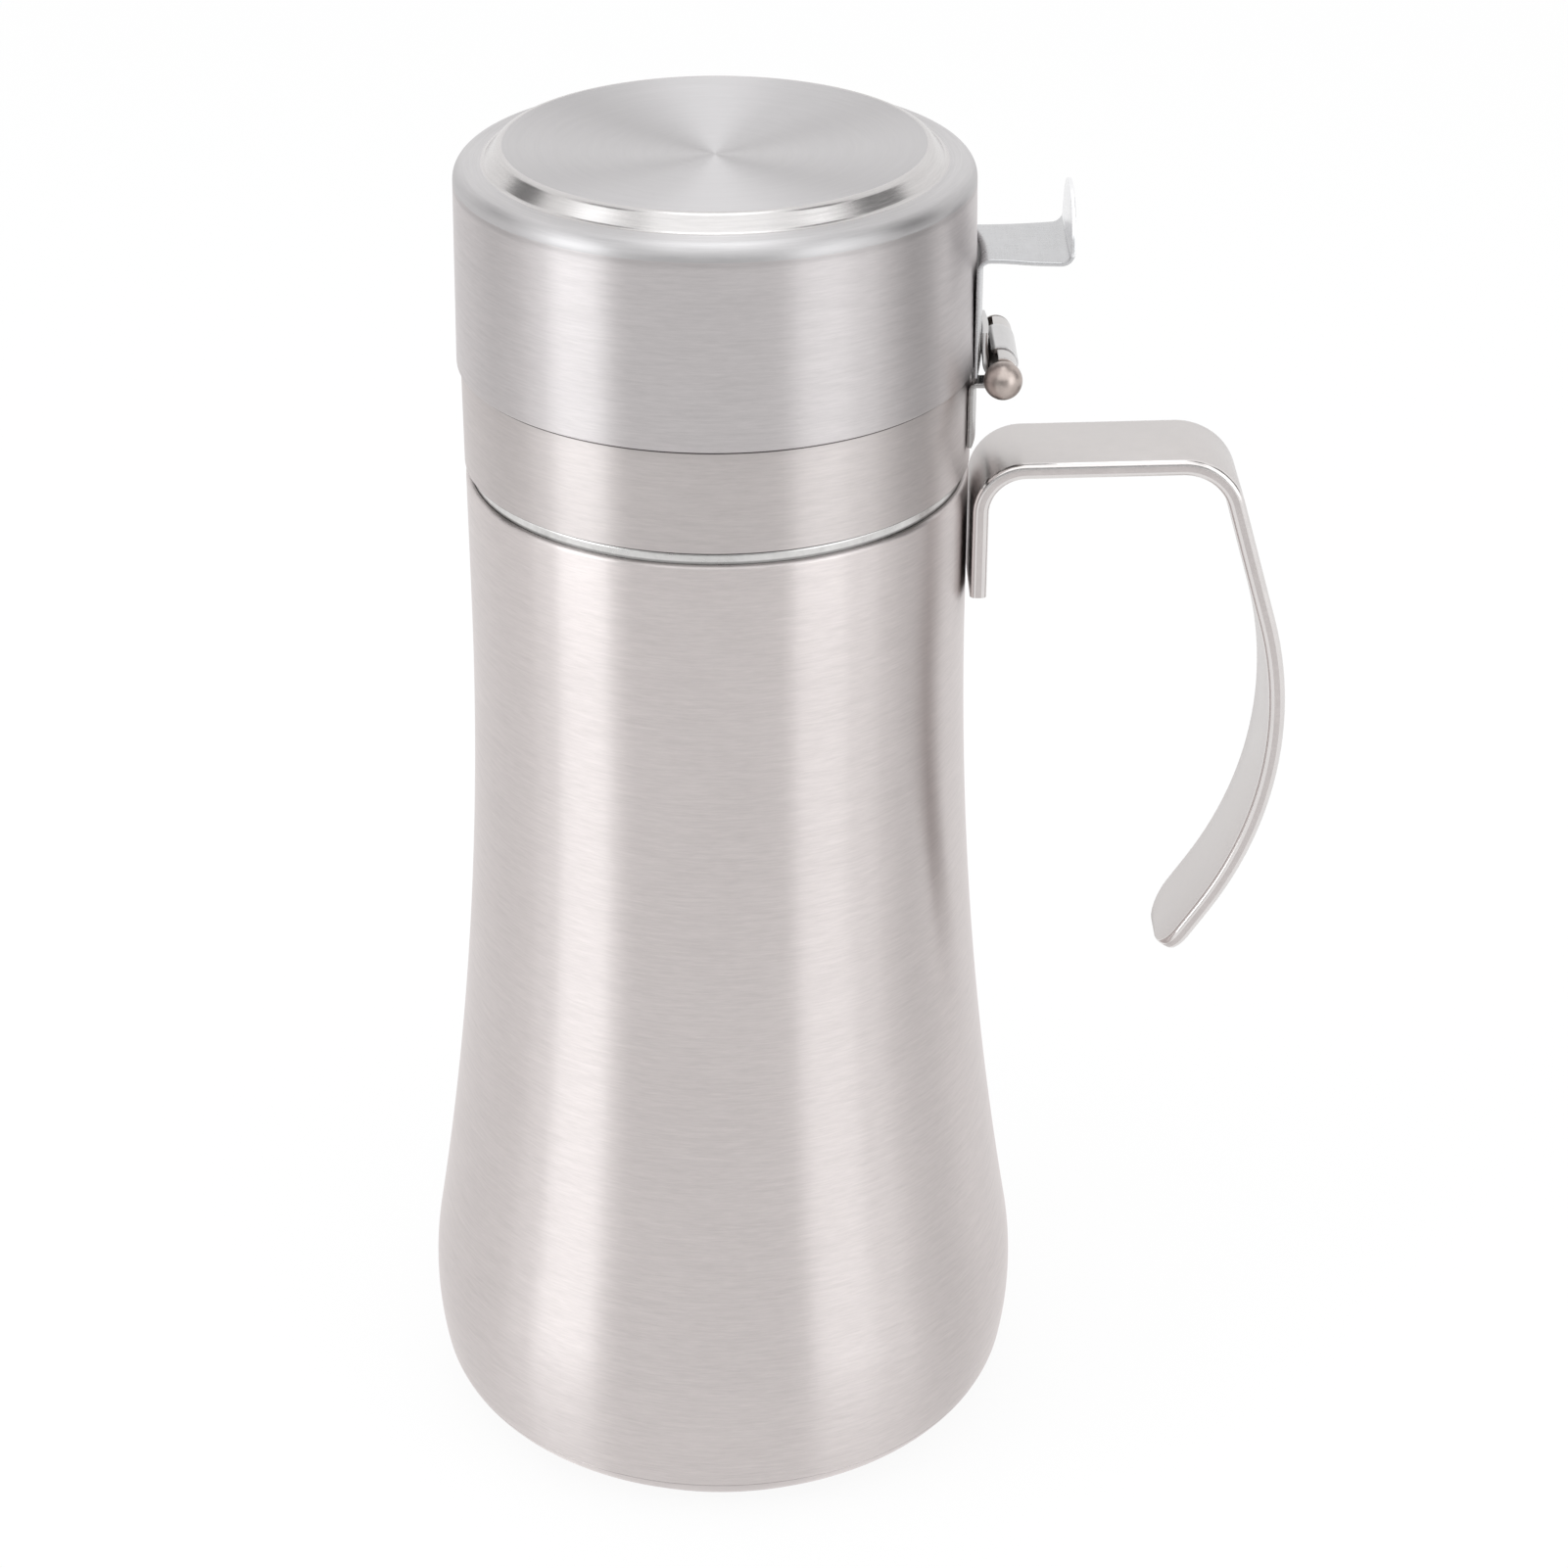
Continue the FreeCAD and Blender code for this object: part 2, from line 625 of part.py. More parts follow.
def make_thread_sleeve():
    """The sleeve inside the collar that screws on the neck, with a flange over the gasket."""
    body = new_body("thread_sleeve")
    bottom = collar_bottom + s.sleeve_lift
    corners = [
        At(sleeve_inside, bottom),
        At(sleeve_outside, bottom),
        At(sleeve_outside, plate_bottom),
        At(sleeve_inside - s.flange_width, plate_bottom),
        At(sleeve_inside - s.flange_width, flange_bottom),
        At(sleeve_inside, flange_bottom),
    ]
    revolve(body, "Sleeve", outline_sketch(body, "SleeveOutline", corners))
    return body


def make_neck_gasket():
    """The flat ring between the neck and the sleeve's flange."""
    body = new_body("neck_gasket")
    outer = sleeve_inside - s.gasket_side
    top = gasket_bottom + s.gasket_thick
    corners = [
        At(outer - s.gasket_width, gasket_bottom),
        At(outer, gasket_bottom),
        At(outer, top),
        At(outer - s.gasket_width, top),
    ]
    revolve(body, "Gasket", outline_sketch(body, "GasketOutline", corners))
    return body


def make_pour_plate():
    """The pan that closes the head, with the spout's hole and the air hole."""
    body = new_body("pour_plate")
    outer = collar_inside - s.plate_fit
    rim = collar_top + s.plate_rise
    corners = [
        At(0, plate_bottom),
        At(outer, plate_bottom, rounding=s.plate_bend),
        At(outer, collar_top),
        At(outer - s.plate_lead, rim),
        At(outer - s.plate_lead - s.plate_wall, rim),
        At(outer - s.plate_wall, collar_top),
        At(outer - s.plate_wall, plate_top, rounding=s.plate_bend - s.plate_wall),
        At(0, plate_top),
    ]
    revolve(body, "Pan", outline_sketch(body, "PanOutline", corners))
    bore = s.spout_base_radius - s.spout_wall
    cut_through(body, "SpoutHole", circle_sketch(body, "SpoutHoleCircle", spout_base_x, 0, bore))
    cut_through(body, "AirHole", circle_sketch(body, "AirHoleCircle", s.vent_x, 0, s.vent_radius))
    return body


def make_pour_spout():
    """The leaning spout: three rounds, lofted outside and inside."""
    body = new_body("pour_spout")
    rounds = [
        (spout_base_x, plate_top, s.spout_base_radius),
        (spout_waist_x, plate_top + s.spout_waist_rise, s.spout_waist_radius),
        (spout_tip_x, spout_top, s.spout_tip_radius),
    ]
    for kind, name, thinner in (
        ("PartDesign::AdditiveLoft", "Horn", as_size(0)),
        ("PartDesign::SubtractiveLoft", "Bore", s.spout_wall),
    ):
        sections = [
            circle_sketch(body, f"{name}Round{i + 1}", x, 0, radius - thinner, offset=height)
            for i, (x, height, radius) in enumerate(rounds)
        ]
        loft(body, kind, name, sections)
    return body


def make_lid_shell():
    """The lid: folded hem, side, rounded shoulder, step and dished top."""
    body = new_body("lid_shell")
    hem_inside = lid_rim_radius - s.hem_thick
    hem_top = lid_bottom + s.hem_height
    taper = (lid_rim_radius - lid_side_radius) / s.lid_ring_rise
    step_length = root(s.step_slope * s.step_slope + s.step_rise * s.step_rise)
    mitre = s.lid_wall * (step_length - s.step_slope) / s.step_rise
    side_inside = lid_rim_radius - taper * s.hem_height - s.lid_wall
    corners = [
        At(hem_inside, lid_bottom),
        At(lid_rim_radius, lid_bottom, rounding=s.hem_round),
        At(lid_side_radius, lid_ring, rounding=s.lid_shoulder),
        At(step_foot_radius, lid_ring, rounding=s.step_foot_round),
        At(step_top_radius, lid_top, rounding=s.step_round),
        At(dish_edge, lid_top),
        At(0, lid_top - s.dish_depth, arc=dish_curve, turn=-1),
        At(0, lid_top - s.dish_depth - s.lid_wall),
        At(dish_edge, lid_top - s.lid_wall, arc=dish_curve, turn=1),
        At(step_top_radius - mitre, lid_top - s.lid_wall, rounding=s.step_round - s.lid_wall),
        At(step_foot_radius - mitre, lid_ring - s.lid_wall,
           rounding=s.step_foot_round + s.lid_wall),
        At(lid_side_radius - s.lid_wall, lid_ring - s.lid_wall,
           rounding=s.lid_shoulder - s.lid_wall),
        At(side_inside, hem_top),
        At(hem_inside, hem_top),
    ]
    revolve(body, "LidPressing", outline_sketch(body, "LidOutline", corners))
    return body


def stopper_seat():
    """The height of the dish's underside above the cup's side nearest the lid's axis."""
    near = -spout_tip_x - s.cup_radius
    sag = dish_curve - root(dish_curve * dish_curve - near * near)
    return lid_top - s.dish_depth - s.lid_wall + sag - s.cup_fit


def make_stopper_cup():
    """The pressed cup under the lid's top, over the spout's mouth."""
    body = new_body("stopper_cup", x=spout_tip_x)
    top = stopper_seat()
    bottom = top - s.cup_height
    corners = [
        At(0, top - s.cup_wall),
        At(s.cup_radius - s.cup_wall, top - s.cup_wall),
        At(s.cup_radius - s.cup_wall, bottom),
        At(s.cup_radius, bottom),
        At(s.cup_radius, top, rounding=s.cup_wall),
        At(0, top),
    ]
    revolve(body, "Cup", outline_sketch(body, "CupOutline", corners))
    return body


def make_spout_stopper():
    """The soft plug in the cup."""
    body = new_body("spout_stopper", x=spout_tip_x)
    top = stopper_seat() - s.cup_wall - s.cup_fit
    radius = s.cup_radius - s.cup_wall - s.stopper_fit
    bottom = spout_top + s.stopper_gap
    corners = [
        At(0, bottom),
        At(radius, bottom, rounding=s.stopper_round),
        At(radius, top),
        At(0, top),
    ]
    revolve(body, "Plug", outline_sketch(body, "PlugOutline", corners))
    return body


def roll(radius, quarters, end):
    """The rolled edge of a leaf of that outer radius, outside and then back inside.

    It passes the given quarters of the circle round the pin, in degrees from level on the outer
    side, and goes on over the pin to the end angle.
    """
    def on_circle(size, angle):
        return hinge_x + cosine(angle) * size, sine(angle) * size

    outside, inside = [], []
    for angle in [as_size(quarter) for quarter in quarters] + [end]:
        x, z = on_circle(radius, angle)
        outside.append(At(x, z, arc=radius, turn=1))
        x, z = on_circle(knuckle_inside, angle)
        inside.insert(0, At(x, z, arc=knuckle_inside, turn=-1))
    inside[0] = At(inside[0].x, inside[0].y)
    return outside + inside


def trim_sides(body, half, reach, beyond):
    """Cut away what stands out over the half width on both sides, from the axis to the reach."""
    for side, name in ((1, "FarSide"), (-1, "NearSide")):
        cut_through(body, name, outline_sketch(body, f"{name}Outline", [
            At(0, side * half),
            At(reach, side * half),
            At(reach, side * beyond),
            At(0, side * beyond),
        ], plane="XY_Plane"))


def make_collar_hinge_leaf():
    """The leaf on the collar: a foot that follows it, a bend under the pin, rolled knuckles."""
    body = new_body("collar_hinge_leaf", z=hinge_z)
    back = collar_radius + s.leaf_fit
    front = back + s.collar_leaf_thick
    revolve_sector(body, "CurvedFoot", outline_sketch(body, "FootOutline", [
        At(front, -s.collar_leaf_drop),
        At(front, -collar_knuckle, rounding=s.collar_leaf_bend),
        At(hinge_x, -collar_knuckle),
        At(hinge_x, -knuckle_inside),
        At(back, -knuckle_inside, rounding=s.collar_leaf_bend + s.collar_leaf_thick),
        At(back, -s.collar_leaf_drop),
    ]))
    half = s.leaf_width / 2
    trim_sides(body, half, 2 * hinge_x, 2 * s.leaf_width)
    level = front + s.collar_leaf_bend + s.leaf_fit
    pad(body, "RolledEdge", outline_sketch(body, "RollOutline", [
        At(level, -collar_knuckle),
        At(hinge_x, -collar_knuckle),
        *roll(collar_knuckle, (0, 90), s.collar_roll_end),
        At(hinge_x, -knuckle_inside, arc=knuckle_inside, turn=-1),
        At(level, -knuckle_inside),
    ]), s.leaf_width)
    notch = s.centre_knuckle / 2 + s.knuckle_gap
    bottom = -lid_knuckle - s.notch_gap
    cut_through(body, "CentreNotch", outline_sketch(body, "NotchOutline", [
        At(-notch, bottom),
        At(notch, bottom),
        At(notch, 2 * lid_knuckle),
        At(-notch, 2 * lid_knuckle),
    ], plane="YZ_Plane"))
    return body


def make_lid_hinge_leaf():
    """The leaf on the lever's leg: a strip that rolls under and round the pin."""
    body = new_body("lid_hinge_leaf", z=hinge_z)
    corners = [
        At(hinge_x - knuckle_inside, s.lid_leaf_rise),
        At(hinge_x - lid_knuckle, s.lid_leaf_rise),
        At(hinge_x - lid_knuckle, 0),
        *roll(lid_knuckle, (270, 0, 90), s.lid_roll_end),
        At(hinge_x - knuckle_inside, 0, arc=knuckle_inside, turn=-1),
    ]
    pad(body, "RolledLeaf", outline_sketch(body, "LeafOutline", corners), s.centre_knuckle)
    return body


def make_thumb_lever():
    """The lever: a leg that follows the lid's side, a level arm, and an upturned round tab."""
    body = new_body("thumb_lever", z=hinge_z)
    back = lid_rim_radius + s.leaf_fit
    front = back + s.lever_thick
    far = hinge_x + s.lever_reach
    near = far - s.lever_thick
    level = s.lever_height - s.lever_thick
    top = s.lever_height + s.tab_rise
    narrow = s.lever_width / 2
    wide = narrow + s.lever_flare
    beyond = 2 * wide
    revolve_sector(body, "CurvedLeg", outline_sketch(body, "LegOutline", [
        At(back, -s.lever_drop),
        At(front, -s.lever_drop),
        At(front, level, rounding=s.lever_bend),
        At(hinge_x, level),
        At(hinge_x, s.lever_height),
        At(back, s.lever_height, rounding=s.lever_bend + s.lever_thick),
    ]))
    start = front + s.lever_bend + s.leaf_fit
    pad(body, "LevelArm", outline_sketch(body, "ArmOutline", [
        At(start, level),
        At(far, level, rounding=s.tab_bend + s.lever_thick),
        At(far, top),
        At(near, top),
        At(near, s.lever_height, rounding=s.tab_bend),
        At(start, s.lever_height),
    ]), 2 * wide)
    for side, name in ((1, "FarTaper"), (-1, "NearTaper")):
        cut_through(body, name, outline_sketch(body, f"{name}Outline", [
            At(0, side * narrow),
            At(front, side * narrow),
            At(near, side * wide),
            At(near, side * beyond),
            At(0, side * beyond),
        ], plane="XY_Plane"))
        corner = wide - s.tab_round
        cut_through(body, f"{name}Corner", outline_sketch(body, f"{name}CornerOutline", [
            At(side * wide, top - s.tab_round),
            At(side * corner, top, arc=s.tab_round, turn=side),
            At(side * corner, top + s.tab_round),
            At(side * beyond, top + s.tab_round),
            At(side * beyond, top - s.tab_round),
        ], plane="YZ_Plane"))
    return body


def make_hinge_pin():
    """The hinge pin: shaft, ball head at the near end and a turned-down far end."""
    body = new_body("hinge_pin", x=hinge_x, z=hinge_z)
    half = s.leaf_width / 2
    ball = -half - s.ball_neck
    meet = root(s.ball_radius * s.ball_radius - s.pin_radius * s.pin_radius)
    far = half + s.cap_gap
    corners = [
        At(0, ball - s.ball_radius),
        At(s.ball_radius, ball, arc=s.ball_radius, turn=1),
        At(s.pin_radius, ball + meet, arc=s.ball_radius, turn=1),
        At(s.pin_radius, far),
        At(s.cap_bore_radius, far),
        At(s.cap_bore_radius, far + s.cap_bore_depth),
        At(0, far + s.cap_bore_depth),
    ]
    revolve(body, "Pin", outline_sketch(body, "PinOutline", corners, plane="XY_Plane"))
    return body


def make_pin_end_cap():
    """The domed cap pressed on the pin's far end."""
    body = new_body("pin_end_cap", x=hinge_x, z=hinge_z)
    face = s.leaf_width / 2 + s.cap_gap
    bore = s.cap_bore_radius + s.cap_fit
    depth = face + s.cap_bore_depth + s.cap_fit
    corners = [
        At(bore, face),
        At(s.cap_radius, face),
        At(0, face + s.cap_radius, arc=s.cap_radius, turn=1),
        At(0, depth),
        At(bore, depth),
    ]
    revolve(body, "Dome", outline_sketch(body, "DomeOutline", corners, plane="XY_Plane"))
    return body


def check(pieces):
    """Stop if an object of the document failed or a piece isn't one valid solid."""
    for item in doc.Objects:
        if "Invalid" in item.State or "Error" in item.State:
            raise RuntimeError(f"{item.Label} failed: {item.State}")
    for piece in pieces:
        shape = piece.Shape
        if shape.isNull() or not shape.isValid() or len(shape.Solids) != 1:
            raise RuntimeError(f"{piece.Label} isn't one valid solid")


PIECES = [
    make_body_shell(),
    make_base_plate(),
    make_neck_ring(),
    make_handle(),
    make_neck_gasket(),
    make_collar(),
    make_thread_sleeve(),
    make_pour_plate(),
    make_pour_spout(),
    make_collar_hinge_leaf(),
    make_hinge_pin(),
    make_pin_end_cap(),
    make_lid_shell(),
    make_stopper_cup(),
    make_spout_stopper(),
    make_lid_hinge_leaf(),
    make_thumb_lever(),
]
doc.recompute()
check(PIECES)
os.makedirs("parts", exist_ok=True)
for piece in PIECES:
    piece.Shape.exportStep(f"parts/{piece.Label}.step")
    box = piece.Shape.BoundBox
    print(
        f"{piece.Label}: volume {piece.Shape.Volume:.1f}, "
        f"x {box.XMin:.2f} {box.XMax:.2f}, y {box.YMin:.2f} {box.YMax:.2f}, "
        f"z {box.ZMin:.2f} {box.ZMax:.2f}"
    )
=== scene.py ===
import json
import math

import bmesh
import bpy
from mathutils import Matrix, Vector


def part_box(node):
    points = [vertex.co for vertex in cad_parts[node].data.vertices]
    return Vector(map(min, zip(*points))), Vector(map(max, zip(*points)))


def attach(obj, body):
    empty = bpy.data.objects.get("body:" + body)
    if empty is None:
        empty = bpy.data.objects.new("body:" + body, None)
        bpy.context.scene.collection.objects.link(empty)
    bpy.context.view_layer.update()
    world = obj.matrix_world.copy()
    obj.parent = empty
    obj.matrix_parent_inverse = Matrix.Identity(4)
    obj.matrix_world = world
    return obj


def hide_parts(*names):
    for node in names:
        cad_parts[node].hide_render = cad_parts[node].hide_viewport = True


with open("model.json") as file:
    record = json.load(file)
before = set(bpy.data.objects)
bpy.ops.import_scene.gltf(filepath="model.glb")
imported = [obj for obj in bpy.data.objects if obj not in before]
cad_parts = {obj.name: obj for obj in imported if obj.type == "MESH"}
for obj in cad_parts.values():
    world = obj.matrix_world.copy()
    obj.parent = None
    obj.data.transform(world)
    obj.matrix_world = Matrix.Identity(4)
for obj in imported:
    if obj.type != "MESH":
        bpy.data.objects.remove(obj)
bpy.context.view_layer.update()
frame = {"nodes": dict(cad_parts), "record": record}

# Sizes in millimetres, the same as in the part's source
MM = 0.001
SKIN = 0.035           # how far the turned pieces stay inside the solids they stand for
NECK = 37.3
COLLAR = 37.4
GROOVE = 36.45
BELLY, BELLY_Z, BULGE = 47.5, 19.4, 60.0
CORNER, CORNER_Z = 10.0, 10.55
SEAM_Z, SEAM_GAP, CURL_Z = 6.2, 0.05, 1.6
SHEET = 0.8
NECK_Z, TOP_Z = 140.0, 161.7
COLLAR_Z0, COLLAR_Z1 = 163.7, 179.0
LID_RIM, LID_SIDE = 38.0, 37.45
LID_Z0, RING_Z, LID_Z1 = 179.15, 208.9, 211.25
STEP_FOOT, STEP_TOP, DISH_EDGE, DISH = 33.0, 31.0, 30.3, 2.0
HINGE_X, HINGE_Z = 41.3, 179.2
PIN, BALL, BALL_Y = 1.6, 2.8, -11.35
LEVER_THICK, LEVER_IN, LEVER_TOP = 0.6, 38.05, 196.1
LEVER_Z0, TAB_X, TAB_TOP, TAB_ROUND = 178.0, 51.2, 205.0, 8.0
LEVER_HALF, LEVER_WIDE = 7.5, 9.0


# ---------------------------------------------------------------- outlines

def arc(cx, cz, radius, start, end, steps):
    """Points on an arc, angles in degrees from +X towards +Z."""
    points = []
    for i in range(steps + 1):
        angle = math.radians(start + (end - start) * i / steps)
        points.append((cx + radius * math.cos(angle), cz + radius * math.sin(angle)))
    return points


def rounded(points, radii, steps=6):
    """An open outline with its corners rounded; radii has one value per point."""
    out = []
    for i, point in enumerate(points):
        radius = radii[i]
        if radius == 0 or i in (0, len(points) - 1):
            out.append(point)
            continue
        here, before, after = Vector(point), Vector(points[i - 1]), Vector(points[i + 1])
        inward, outward = (here - before).normalized(), (after - here).normalized()
        turn = inward.angle(outward)
        start = here - inward * radius * math.tan(turn / 2)
        side = 1 if inward.x * outward.y - inward.y * outward.x > 0 else -1
        centre = start + Vector((-inward.y, inward.x)) * radius * side
        first = math.atan2(start.y - centre.y, start.x - centre.x)
        for k in range(steps + 1):
            angle = first + side * turn * k / steps
            out.append((centre.x + radius * math.cos(angle), centre.y + radius * math.sin(angle)))
    return out


def tidy(points):
    """The same outline without points that fall on each other."""
    out = [points[0]]
    for p in points[1:]:
        if math.hypot(p[0] - out[-1][0], p[1] - out[-1][1]) > 1e-5:
            out.append(p)
    if math.hypot(out[0][0] - out[-1][0], out[0][1] - out[-1][1]) < 1e-5:
        out.pop()
    return out


# ---------------------------------------------------------------- meshes

def make_mesh(name, verts, faces, sharp=35.0, indices=None, slots=()):
    """A closed mesh from points in millimetres, with its faces turned outwards."""
    mesh = bpy.data.meshes.new(name)
    mesh.from_pydata([tuple(c * MM for c in v) for v in verts], [], faces)
    for slot in slots:
        mesh.materials.append(slot)
    if indices:
        for polygon, index in zip(mesh.polygons, indices):
            polygon.material_index = index
    work = bmesh.new()
    work.from_mesh(mesh)
    bmesh.ops.delete(work, geom=[v for v in work.verts if not v.link_faces], context="VERTS")
    bmesh.ops.recalc_face_normals(work, faces=work.faces)
    work.to_mesh(mesh)
    work.free()
    mesh.validate()
    mesh.shade_smooth()
    mesh.set_sharp_from_angle(angle=math.radians(sharp))
    obj = bpy.data.objects.new(name, mesh)
    bpy.context.scene.collection.objects.link(obj)
    return obj


def about_z(radius, height, angle):
    return (radius * math.cos(angle), radius * math.sin(angle), height)


def about_pin(radius, height, angle):
    return (HINGE_X + radius * math.cos(angle), height, HINGE_Z + radius * math.sin(angle))


def lathe(name, outline, segments=256, sharp=35.0, index_of=None, slots=(), place=about_z):
    """Turn a closed outline of (radius, height). Points on the axis make one vertex."""
    outline = tidy(outline)
    verts, rings = [], []
    for r, z in outline:
        if r < 1e-6:
            rings.append([len(verts)] * segments)
            verts.append(place(0.0, z, 0.0))
            continue
        ring = []
        for k in range(segments):
            ring.append(len(verts))
            verts.append(place(r, z, 2 * math.pi * k / segments))
        rings.append(ring)
    faces, indices = [], []
    count = len(outline)
    for i in range(count):
        a, b = rings[i], rings[(i + 1) % count]
        if a[0] == a[1] and b[0] == b[1]:
            continue
        index = 0 if index_of is None else index_of(outline[i], outline[(i + 1) % count])
        for k in range(segments):
            n = (k + 1) % segments
            face = [a[k], a[n], b[n], b[k]]
            face = [v for j, v in enumerate(face) if v not in face[:j]]
            faces.append(face)
            indices.append(index)
    return make_mesh(name, verts, faces, sharp, indices, slots)


EDGE_STEPS = (0.0, 0.2, 0.55, 1.0)


def spaced(low, high, soft, inner, ends=(True, True)):
    """Stations from low to high, close together where an edge is rounded."""
    first = [low + soft * s for s in EDGE_STEPS] if ends[0] else [low]
    last = [high - soft * s for s in reversed(EDGE_STEPS)] if ends[1] else [high]
    a, b = first[-1], last[0]
    return first + [a + (b - a) * i / inner for i in range(1, inner)] + last


def sheet(name, grid, edge, thick, soft, missing=lambda i, j: False, sharp=35.0):
    """Bent sheet metal. grid has the points of its middle surface, edge the distance of each
    to the nearest edge, which is rounded by soft."""
    rows, cols = len(grid), len(grid[0])
    verts = []
    for sign in (1, -1):
        for i in range(rows):
            for j in range(cols):
                along = grid[min(i + 1, rows - 1)][j] - grid[max(i - 1, 0)][j]
                across = grid[i][min(j + 1, cols - 1)] - grid[i][max(j - 1, 0)]
                near = min(edge[i][j], soft)
                half = thick / 2 - soft + math.sqrt(soft ** 2 - (soft - near) ** 2)
                verts.append(grid[i][j] + along.cross(across).normalized() * sign * half)
    cells = {(i, j) for i in range(rows - 1) for j in range(cols - 1) if not missing(i, j)}
    back = rows * cols
    faces = []
    for i, j in sorted(cells):
        a, b, c, d = i * cols + j, i * cols + j + 1, (i + 1) * cols + j + 1, (i + 1) * cols + j
        faces.append([a, b, c, d])
        faces.append([back + d, back + c, back + b, back + a])
        sides = (((i - 1, j), (a, b)), ((i, j + 1), (b, c)), ((i + 1, j), (c, d)), ((i, j - 1), (d, a)))
        for other, (p, q) in sides:
            if other not in cells:
                faces.append([q, p, back + p, back + q])
    return make_mesh(name, verts, faces, sharp)


# ---------------------------------------------------------------- materials

class Shader:
    """A material being put together."""

    def __init__(self, name):
        self.material = bpy.data.materials.new(name)
        self.material.use_nodes = True
        self.nodes = self.material.node_tree.nodes
        self.links = self.material.node_tree.links
        self.bsdf = self.nodes["Principled BSDF"]

    def node(self, kind, **values):
        node = self.nodes.new(kind)
        for key, value in values.items():
            setattr(node, key, value)
        return node

    def link(self, out, into):
        self.links.new(out, into)

    def mapped(self, source, scale):
        node = self.node("ShaderNodeMapping")
        node.inputs["Scale"].default_value = scale
        self.link(source, node.inputs["Vector"])
        return node.outputs["Vector"]

    def noise(self, vector, scale=1.0, detail=3.0, roughness=0.5):
        node = self.node("ShaderNodeTexNoise")
        node.inputs["Scale"].default_value = scale
        node.inputs["Detail"].default_value = detail
        node.inputs["Roughness"].default_value = roughness
        self.link(vector, node.inputs["Vector"])
        return node.outputs["Fac"]

    def ramp(self, value, stops):
        node = self.node("ShaderNodeValToRGB")
        elements = node.color_ramp.elements
        while len(elements) < len(stops):
            elements.new(0.5)
        for element, (position, colour) in zip(elements, stops):
            element.position = position
            element.color = (*colour, 1)
        self.link(value, node.inputs["Fac"])
        return node.outputs["Color"]

    def spread(self, value, low, high, start=0.0, end=1.0):
        node = self.node("ShaderNodeMapRange")
        node.inputs["From Min"].default_value = start
        node.inputs["From Max"].default_value = end
        node.inputs["To Min"].default_value = low
        node.inputs["To Max"].default_value = high
        self.link(value, node.inputs["Value"])
        return node.outputs["Result"]

    def math(self, operation, a, b=0.0):
        node = self.node("ShaderNodeMath", operation=operation)
        for value, into in ((a, node.inputs[0]), (b, node.inputs[1])):
            if isinstance(value, (int, float)):
                into.default_value = value
            else:
                self.link(value, into)
        return node.outputs[0]

    def blend(self, a, b):
        """The mean of two values."""
        return self.math("ADD", self.math("MULTIPLY", a, 0.5), self.math("MULTIPLY", b, 0.5))

    def bump(self, height, strength, distance):
        node = self.node("ShaderNodeBump")
        node.inputs["Strength"].default_value = strength
        node.inputs["Distance"].default_value = distance
        self.link(height, node.inputs["Height"])
        self.link(node.outputs["Normal"], self.bsdf.inputs["Normal"])

    def point(self):
        return self.node("ShaderNodeTexCoord").outputs["Object"]

    def parts(self, vector):
        node = self.node("ShaderNodeSeparateXYZ")
        self.link(vector, node.inputs[0])
        return node.outputs

    def window(self, value, low, high, soft):
        """1 where the value is between low and high, and 0 outside, over a soft distance."""
        up = self.spread(value, 0, 1, low - soft, low + soft)
        down = self.spread(value, 1, 0, high - soft, high + soft)
        return self.math("MULTIPLY", up, down)

    def stained(self, tint, point, stains):
        """The tint, times a level in each dark band: (axis, low, high, soft edge, level). Most bands are painted
        shade in gaps and grooves, or painted dark bands in reflections; the one at the base seam is the joint's dark
        line.
        """
        parts = self.parts(point)
        for axis, low, high, soft, level in stains:
            shade = self.node("ShaderNodeMix", data_type="RGBA", blend_type="MULTIPLY")
            inputs = [i for i in shade.inputs if i.enabled]
            self.link(self.window(parts[axis], low * MM, high * MM, soft * MM), inputs[0])
            self.link(tint, inputs[1])
            inputs[2].default_value = (level, level, level, 1)
            tint = [o for o in shade.outputs if o.enabled][0]
        return tint


def shades(colour, amount):
    return (tuple(c * (1 - amount) for c in colour),
            tuple(min(c * (1 + amount), 0.95) for c in colour))


